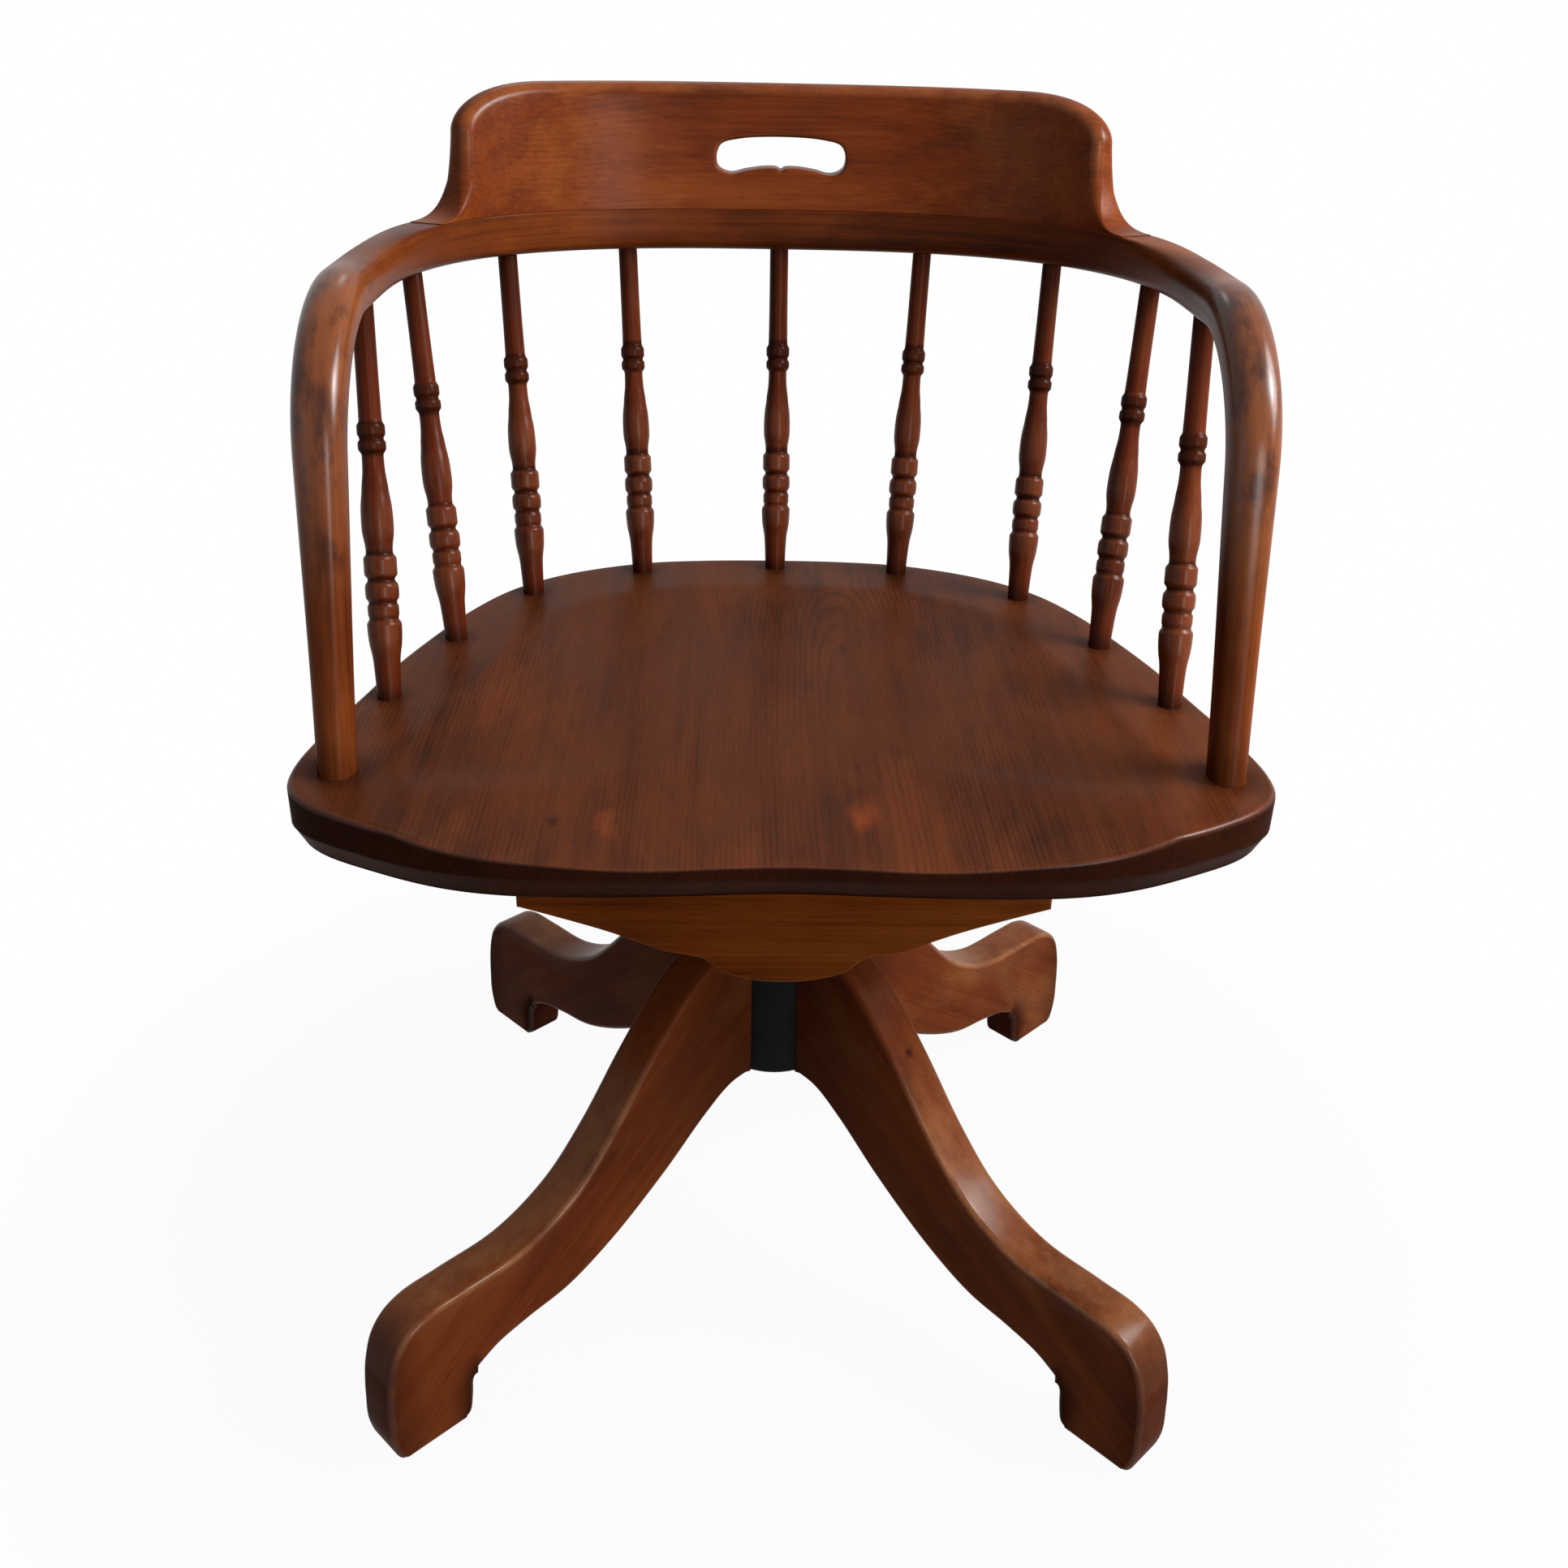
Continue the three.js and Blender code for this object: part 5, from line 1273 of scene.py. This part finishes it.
def leg_stain_and_shade(points):
    """Dark at the toe's end grain; painted shade near the hub, under the seat, and on the sawn
    heel.
    """
    out, _, high = points.T
    # Painted shade near the hub and in the heel's notch; the toe's darkening is stain in end grain.
    toe_stain_and_hub_shade = 0.6 * smooth(0.322, 0.350, out) + 0.72 * smooth(0.155, 0.045, out)
    heel = smooth(0.306, 0.301, out) * smooth(0.279, 0.284, out) * smooth(0.047, 0.041, high)
    return np.maximum(toe_stain_and_hub_shade, heel)


def leg_mesh():
    ease = np.where(leg_loop[:, 0] < HUB_SIDE + SHARP_EDGE, FIT, LEG_EASE)
    ease = np.where(leg_loop[:, 1] < SHARP_EDGE, FOOT_EASE, ease)
    points, faces, wear = eased_board([leg_loop], [ease], on_leg, BOARD_SPACING)
    out, across, high = points.T
    grain = np.column_stack([out * math.cos(GRAIN_SLOPE) + high * math.sin(GRAIN_SLOPE),
                             high * math.cos(GRAIN_SLOPE) - out * math.sin(GRAIN_SLOPE), across])
    return board_piece("leg_pattern", points, faces, leg_wood, 50, grain=grain,
                       wear=leg_wear_and_highlight(points, wear), end_grain=leg_stain_and_shade(points))


leg_pattern = leg_mesh()
print("leg pattern:", len(leg_pattern.data.polygons), "faces")

# %% Legs round the hub
BASE_TURN = math.radians(-1.5)
LEG_NAMES = ["rear_right", "rear_left", "front_left", "front_right"]


def legs_tree():
    tree, given = new_tree("legs_round_the_hub", {"Leg": None, "Turn": BASE_TURN})
    index = shape_node(tree, "InputIndex")
    leg = add_node(tree, "GeometryNodeObjectInfo", inputs={"Object": given["Leg"]})
    turned = plus(tree, times(tree, index, math.pi / 2), given["Turn"], math.pi / 4)
    legs = shape_node(tree, "InstanceOnPoints", {
        "Points": given["Geometry"], "Instance": leg.outputs["Geometry"],
        "Rotation": combined(tree, z=turned)})
    legs = shape_node(tree, "StoreNamedAttribute", {
        "Geometry": legs, "Name": "which", "Value": index},
        {"data_type": "FLOAT", "domain": "INSTANCE"})
    real = shape_node(tree, "RealizeInstances", {"Geometry": legs})
    which = named(tree, "which")
    shift = combined(tree, times(tree, which, 1.37), times(tree, which, 0.21))
    grain = of_vectors(tree, "ADD", named(tree, "grain", "FLOAT_VECTOR"), shift)
    return close_tree(tree, given, stored(tree, real, "grain", grain, "FLOAT_VECTOR"))


four_legs = run_tree("four_legs", source_object("hub_points", [(0, AXIS_Y, 0)] * 4), legs_tree(),
                     {"Leg": leg_pattern, "Finish": leg_wood}, 50)
bpy.data.objects.remove(leg_pattern)
place_piece(four_legs, "base", "leg_wood", *[f"leg_{name}" for name in LEG_NAMES])

# %% [markdown]
# ## The bearers
# A shaped board hangs under the seat's front, with its ogee lower edge, and a like one at the
# back. Two straight rails run between them and carry the iron plate. The shaped ones are eased
# boards again. The straight ones are copies of the CAD solids with a small Bevel, which is
# enough for a plain block with screw holes.

# %% Shaped bearers
BEARER_HALF = 0.155
BEARER_DEPTH = 0.075
BEARER_END_DEPTH = 0.023
BEARER_EASE = 0.0022
BEARER_TOP_EASE = 0.0004
BEARER_UNDER_SHARES = [
    (1, 0), (0.86, 0.13), (0.68, 0.31), (0.57, 0.44), (0.46, 0.58), (0.36, 0.64), (0.3, 0.7),
    (0.24, 0.86), (0.12, 0.97), (0, 1)]


def bearer_outline():
    fall = BEARER_DEPTH - BEARER_END_DEPTH
    left = [(-across * BEARER_HALF, -BEARER_END_DEPTH - down * fall)
            for across, down in BEARER_UNDER_SHARES]
    under = curve_through(left + [(-x, z) for x, z in left[-2::-1]], steps=12)
    right_end = np.linspace((BEARER_HALF, -BEARER_END_DEPTH), (BEARER_HALF, 0), 8)[1:-1]
    top = np.linspace((BEARER_HALF, 0), (-BEARER_HALF, 0), 60)
    left_end = np.linspace((-BEARER_HALF, 0), (-BEARER_HALF, -BEARER_END_DEPTH), 8)[1:-1]
    return turned_left(np.vstack([under, right_end, top, left_end]))


def shaped_bearer(name, node):
    low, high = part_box(node)
    loop = bearer_outline()
    ease = np.where(loop[:, 1] > -SHARP_EDGE, BEARER_TOP_EASE, BEARER_EASE)

    def on_bearer(flat, side, depth):
        y = low.y + depth if side == 0 else high.y - depth
        return np.column_stack([flat[:, 0], np.broadcast_to(y, len(flat)), high.z + flat[:, 1]])

    points, faces, wear = eased_board([loop], [ease], on_bearer, BOARD_SPACING)
    bearer = board_piece(name, points, faces, bearer_wood, 50, wear=wear * 0.3,
                         grain=points[:, [0, 2, 1]] + (low.y * 3, 0, 0))
    place_piece(bearer, "seat_frame", "bearer_wood", node)


shaped_bearer("front_apron", "front_bearer")
shaped_bearer("rear_apron", "rear_bearer")


# %% Eased copies of plain solids
def eased_copy(name, node, material, ease, body, slot, grain_axes=None):
    """A copy of a CAD solid with its edges rounded, for pieces whose shape is already right."""
    mesh = nodes[node].data.copy()
    work = bmesh.new()
    work.from_mesh(mesh)
    bmesh.ops.remove_doubles(work, verts=work.verts, dist=1e-6)
    bmesh.ops.dissolve_limit(work, angle_limit=math.radians(1), verts=work.verts,
                             edges=work.edges)
    work.to_mesh(mesh)
    work.free()
    mesh.materials.clear()
    mesh.materials.append(material)
    source = put_in_scene(name + "_source", mesh)
    bevel = source.modifiers.new("ease", "BEVEL")
    bevel.width = ease
    bevel.segments = 2
    bevel.limit_method = "ANGLE"
    bevel.angle_limit = math.radians(35)
    shape = plain_mesh(source)
    if grain_axes is not None:
        places = np.array([vertex.co for vertex in shape.vertices])
        store_values(shape, "grain", places[:, grain_axes])
    place_piece(finished(name, shape), body, slot, node)


for hand in ("left", "right"):
    eased_copy(f"seat_rail_{hand}", f"side_bearer_{hand}", bearer_wood, 0.0015, "seat_frame",
               "bearer_wood", (1, 0, 2))
eased_copy("iron_seat_plate", "seat_plate", black_iron, 0.0012, "seat_frame", "black_iron")
eased_copy("swivel_nut", "pin_nut", worn_steel, 0.0008, "seat_frame", "worn_steel")
eased_copy("travel_screw", "key_screw", worn_steel, 0.0006, "base", "worn_steel")

# %% [markdown]
# ## Turned metal
# The hub, its bushes and the washers are round about one axis, so each is a short profile turned
# round it, with the corners of the profile rounded first. Many sides keep the hub's outline
# round where the legs meet it. The hand wheel is turned too: a scalloped iron wheel on the screw
# that sets the height. Its rim is eight shallow lobes for the fingers, so its reach changes with
# the angle.

# %% Turning
WHEEL_LOBES = 8
LOBES_FROM = 0.040


def rounded_profile(corners, ease, steps=4):
    """A closed profile of radius and height with its corners rounded."""
    corners = [np.array(corner, float) for corner in corners]
    t = np.linspace(0, 1, steps + 1)[:, None]
    found = []
    for index, corner in enumerate(corners):
        before = corners[index - 1] - corner
        after = corners[(index + 1) % len(corners)] - corner
        room = min(ease, np.linalg.norm(before) / 2.1, np.linalg.norm(after) / 2.1)
        start = corner + unit(before) * room
        end = corner + unit(after) * room
        found.append((1 - t) ** 2 * start + 2 * (1 - t) * t * corner + t ** 2 * end)
    return np.vstack(found)


def turned_piece(name, corners, ease, material, body, slot, node, sides=96, lobe=0.0):
    radius, height = rounded_profile(corners, ease).T
    turns = full_turn(sides)[:, None]
    dip = lobe * (1 - np.cos(turns * WHEEL_LOBES)) / 2
    wide = radius - np.where(radius > LOBES_FROM, dip, 0)
    points = np.stack([wide * np.cos(turns), wide * np.sin(turns) + AXIS_Y,
                       np.broadcast_to(height, wide.shape)], axis=-1)
    faces = ring_faces(sides, len(radius), "joined")
    piece = mesh_piece(name, points.reshape(-1, 3), faces, material)
    place_piece(piece, body, slot, node)


def turned_ring(name, node, inner, ease, material, body, slot):
    low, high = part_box(node)
    outer = (high.x - low.x) / 2
    turned_piece(name, [(inner, low.z), (outer, low.z), (outer, high.z), (inner, high.z)], ease,
                 material, body, slot, node)


# %% Hub, bushes and washers
PIN_RADIUS = 0.010
SCREW_RADIUS = 0.014
BUSH_INNER = SCREW_RADIUS + FIT
BUSH_OUTER = BUSH_INNER + 0.006
HUB_INNER = HUB_RADIUS - 0.007
COLLAR_LOW = HUB_TOP - 0.030
GUIDE_NECK = 0.019
turned_piece("iron_hub", [
    (BUSH_OUTER + FIT, COLLAR_LOW), (HUB_INNER, COLLAR_LOW), (HUB_INNER, HUB_BOTTOM),
    (HUB_RADIUS, HUB_BOTTOM), (HUB_RADIUS, HUB_TOP), (BUSH_OUTER + FIT, HUB_TOP)],
    0.0025, black_iron, "base", "black_iron", "hub_casting")
turned_ring("brass_bush", "upper_bush", BUSH_INNER, 0.0008, brass, "base", "brass_metal")
guide_low, guide_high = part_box("lower_guide")
guide_lip = (guide_low.z + guide_high.z) / 2
turned_piece("iron_guide", [
    (BUSH_INNER, guide_low.z), (HUB_INNER - FIT, guide_low.z), (HUB_INNER - FIT, guide_lip),
    (GUIDE_NECK, guide_lip), (GUIDE_NECK, guide_high.z), (BUSH_INNER, guide_high.z)],
    0.0008, black_iron, "base", "black_iron", "lower_guide")
turned_ring("brass_wheel_washer", "wheel_washer", BUSH_INNER, 0.0005, brass, "base",
            "brass_metal")
turned_ring("brass_bearing", "thrust_bearing", PIN_RADIUS + FIT, 0.0006, brass, "seat_frame",
            "brass_metal")
turned_ring("steel_pin_washer", "pin_washer", PIN_RADIUS + FIT, 0.0005, worn_steel,
            "seat_frame", "worn_steel")

# %% Hand wheel
WHEEL_RADIUS = 0.046
WHEEL_LOBE = 0.003
WHEEL_STEP = 0.026
wheel_low, wheel_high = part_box("hand_wheel")
turned_piece("scalloped_wheel", [
    (BUSH_INNER, wheel_low.z), (WHEEL_RADIUS, wheel_low.z), (WHEEL_RADIUS, wheel_high.z),
    (WHEEL_STEP + 0.009, wheel_high.z), (WHEEL_STEP + 0.004, wheel_high.z - 0.002),
    (WHEEL_STEP, wheel_high.z), (BUSH_INNER, wheel_high.z)],
    0.0026, black_iron, "wheel", "black_iron", "hand_wheel", 192, WHEEL_LOBE)

# %% [markdown]
# ## The lifting screw
# A square thread winds up the screw, which a key stops from turning. The core is turned, and a
# tree of nodes winds a flat-topped thread round it with a Spiral and Curve to Mesh, then cuts
# the key's slot. Drawing the helix by nodes means that its pitch is one input.

# %% Screw core
THREAD_DEPTH = 0.0012
SCREW_PITCH = 0.008
SCREW_CHAMFER = 0.0008
COLLAR_RADIUS = 0.019
COLLAR_HEIGHT = 0.006
COLLAR_CHAMFER = 0.0006
BEARING_ROOM = 0.0036
TIP_RADIUS = 0.0001
CORE_SIDES = 64
screw_low, screw_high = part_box("lift_screw")
COLLAR_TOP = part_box("seat_plate")[0].z - BEARING_ROOM
COLLAR_UNDER = COLLAR_TOP - COLLAR_HEIGHT
core_radius = SCREW_RADIUS - THREAD_DEPTH
core_profile = [
    (TIP_RADIUS, screw_low.z), (core_radius - SCREW_CHAMFER, screw_low.z),
    (core_radius, screw_low.z + SCREW_CHAMFER), (core_radius, COLLAR_UNDER),
    (COLLAR_RADIUS - COLLAR_CHAMFER, COLLAR_UNDER),
    (COLLAR_RADIUS, COLLAR_UNDER + COLLAR_CHAMFER), (COLLAR_RADIUS, COLLAR_TOP - COLLAR_CHAMFER),
    (COLLAR_RADIUS - COLLAR_CHAMFER, COLLAR_TOP), (PIN_RADIUS, COLLAR_TOP),
    (PIN_RADIUS, screw_high.z - THREAD_DEPTH), (PIN_RADIUS - THREAD_DEPTH, screw_high.z),
    (TIP_RADIUS, screw_high.z)]
core_points = [(radius * math.cos(turn), radius * math.sin(turn), height)
               for radius, height in core_profile for turn in full_turn(CORE_SIDES)]
screw_core = mesh_piece("screw_core", core_points, ring_faces(len(core_profile), CORE_SIDES),
                        worn_steel)
print("screw is", round(screw_high.z - screw_low.z, 4), "m long")

# %% Screw thread
SLOT_HALF = 0.003 + FIT
SLOT_FLOOR = SCREW_RADIUS - 0.003
SLOT_CUT = 0.010
SLOT_END_ROOM = 0.002
THREAD_WIDTH = 0.0022
THREAD_END_GAP = 0.004
KEY_HEIGHT = HUB_TOP - 0.015
TRAVEL = frame["joints"][1]["range_m"][1]
SLOT_LOW = KEY_HEIGHT - TRAVEL - SLOT_HALF - SLOT_END_ROOM
SLOT_HIGH = KEY_HEIGHT + SLOT_HALF + SLOT_END_ROOM
THREAD_START = screw_low.z + SCREW_PITCH / 2


def thread_tree():
    tree, given = new_tree("thread_round_the_core", {
        "Pitch": SCREW_PITCH, "Radius": core_radius, "Start": THREAD_START,
        "Height": COLLAR_UNDER - THREAD_END_GAP - THREAD_START, "Ridge": THREAD_WIDTH})
    spiral = shape_node(tree, "CurveSpiral", {
        "Resolution": 48, "Rotations": calculated(tree, "DIVIDE", given["Height"], given["Pitch"]),
        "Start Radius": given["Radius"], "End Radius": given["Radius"],
        "Height": given["Height"]})
    spiral = shape_node(tree, "SetCurveNormal", {"Curve": spiral}, {"mode": "Z_UP"})
    flat_top = shape_node(tree, "CurvePrimitiveQuadrilateral", {
        "Width": given["Ridge"], "Height": times(tree, given["Pitch"], 0.5)}, {"mode": "RECTANGLE"})
    ridge = shape_node(tree, "CurveToMesh", {
        "Curve": spiral, "Profile Curve": flat_top, "Fill Caps": True})
    ridge = shape_node(tree, "Transform", {
        "Geometry": ridge, "Translation": combined(tree, z=given["Start"])})
    both = add_node(tree, "GeometryNodeJoinGeometry")
    tree.links.new(ridge, both.inputs[0])
    tree.links.new(given["Geometry"], both.inputs[0])
    cutter = shape_node(tree, "MeshCube", {"Size": (2 * SLOT_HALF, SLOT_CUT, SLOT_HIGH - SLOT_LOW)})
    cutter = shape_node(tree, "Transform", {
        "Geometry": cutter,
        "Translation": (0, SLOT_FLOOR + SLOT_CUT / 2, (SLOT_LOW + SLOT_HIGH) / 2)})
    slotted = shape_node(tree, "MeshBoolean", {
        "Mesh 1": both.outputs[0], "Mesh 2": cutter, "Self Intersection": True},
        {"operation": "DIFFERENCE", "solver": "EXACT"})
    return close_tree(tree, given, shape_node(tree, "Transform", {
        "Geometry": slotted, "Translation": (0, AXIS_Y, 0)}))


lifting_screw = run_tree("lifting_screw", screw_core, thread_tree(), {"Finish": worn_steel}, 30)
place_piece(lifting_screw, "screw", "worn_steel", "lift_screw")

# %% [markdown]
# ## Screws and bolts
# Twelve wood screws hold the seat's frame together and eight bolts hold the legs, the latter
# inside the hub. Each is a line from its head to its tip. A tree of nodes gives that line a head,
# a shank with a thread, a point, and a driver's slot cut across the head.

# %% Fastener lines
BOLT_WIDTH = 0.008
ROWS = ("lower", "upper")


def screw_line(name):
    """From the box of a CAD screw, which stands upright, the line from its head to its tip."""
    low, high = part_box(name)
    middle = (low + high) / 2
    return (middle.x, middle.y, low.z), (middle.x, middle.y, high.z)


def bolt_line(index, row):
    """The same for a bolt, which lies level and points out along its leg."""
    angle = (index + 0.5) * math.pi / 2 + BASE_TURN
    way = Vector((math.cos(angle), math.sin(angle), 0))
    low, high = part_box(f"leg_bolt_{LEG_NAMES[index]}_{row}")
    axis = Vector((0, AXIS_Y, (low.z + high.z) / 2))
    centre = ((low + high) / 2 - axis).dot(way)
    half_length = (high.x - low.x - BOLT_WIDTH * abs(way.y)) / abs(way.x) / 2
    return axis + way * (centre - half_length), axis + way * (centre + half_length)


# %% Fastener tree
def fastener_radius(tree, given):
    """The head's radius as far as the head goes, then the shank's, threaded and pointed."""
    along = add_node(tree, "GeometryNodeSplineParameter").outputs
    length = along["Length"]
    turn = calculated(tree, "FRACT", calculated(tree, "DIVIDE", length, given["Pitch"]))
    thread = remapped(tree, turn, 0.0, 1.0, 0.80, 1.0)
    point = remapped(tree, along["Factor"], 0.90, 1.0, 1.0, 0.25)
    shank = times(tree, given["Shank"], times(tree, thread, point))
    head = times(tree, given["Head"], remapped(tree, length, 0.0, 0.0007, 0.86, 1.0))
    in_head = calculated(tree, "LESS_THAN", length, given["Head height"])
    return plus(tree, times(tree, in_head, head),
                times(tree, calculated(tree, "SUBTRACT", 1.0, in_head), shank))


def fastener_tree():
    tree, given = new_tree("fastener_on_each_line", {
        "Head": 0.005, "Head height": 0.004, "Shank": 0.0028, "Pitch": 0.0022, "Slot": 0.0011,
        "Slot length": 0.03, "Slot depth": 0.0024})
    curve = shape_node(tree, "MeshToCurve", {"Mesh": given["Geometry"]})
    body = shape_node(tree, "CurveToMesh", {
        "Curve": shape_node(tree, "ResampleCurve", {"Curve": curve, "Count": 72}),
        "Profile Curve": shape_node(tree, "CurvePrimitiveCircle", {
            "Resolution": 20, "Radius": 1.0}),
        "Scale": fastener_radius(tree, given), "Fill Caps": True})
    at_head = add_node(tree, "FunctionNodeCompare", {
        "data_type": "FLOAT", "operation": "EQUAL"}, {
        "A": calculated(tree, "MODULO", shape_node(tree, "InputIndex"), 2.0), "B": 0.0,
        "Epsilon": 0.1})
    cutter = shape_node(tree, "MeshCube", {
        "Size": combined(tree, given["Slot"], given["Slot length"], given["Slot depth"])})
    facing = add_node(tree, "FunctionNodeAlignRotationToVector", {"axis": "Z"}, {
        "Vector": named(tree, "way", "FLOAT_VECTOR")})
    slots = shape_node(tree, "InstanceOnPoints", {
        "Points": given["Geometry"], "Selection": at_head.outputs[0], "Instance": cutter,
        "Rotation": facing.outputs[0]})
    slots = shape_node(tree, "RealizeInstances", {"Geometry": slots})
    return close_tree(tree, given, shape_node(tree, "MeshBoolean", {
        "Mesh 1": body, "Mesh 2": slots}, {"operation": "DIFFERENCE", "solver": "EXACT"}))


# %% Screws and bolts
def fasteners(name, lines, body, replaced, sizes):
    ways = [unit(np.subtract(end, start)) for start, end in lines]
    source = line_source(name + "_lines", lines, way=np.repeat(ways, 2, axis=0))
    piece = run_tree(name, source, fastener_tree(), {"Finish": worn_steel, **sizes})
    place_piece(piece, body, "worn_steel", *replaced)


frame_screws = sorted(name for name in nodes if "_screw_" in name)
fasteners("frame_screws", [screw_line(name) for name in frame_screws], "seat_frame",
          frame_screws, {})
fasteners("leg_bolts", [bolt_line(index, row) for index in range(4) for row in ROWS], "base",
          [f"leg_bolt_{name}_{row}" for name in LEG_NAMES for row in ROWS],
          {"Head": 0.007, "Head height": 0.006, "Shank": 0.004, "Pitch": 0.0015, "Slot": 0.0014})

# %% [markdown]
# ## What stays as it is
# The four dowels between bow and crest are hidden inside the wood. Their CAD solids are right as
# they are, so they only get a finish.

# %% Dowels
dowels = [name for name in nodes if name.startswith("crest_dowel")]
for name in dowels:
    for slot in nodes[name].material_slots:
        slot.material = dowel_wood
print("dowels:", len(dowels))
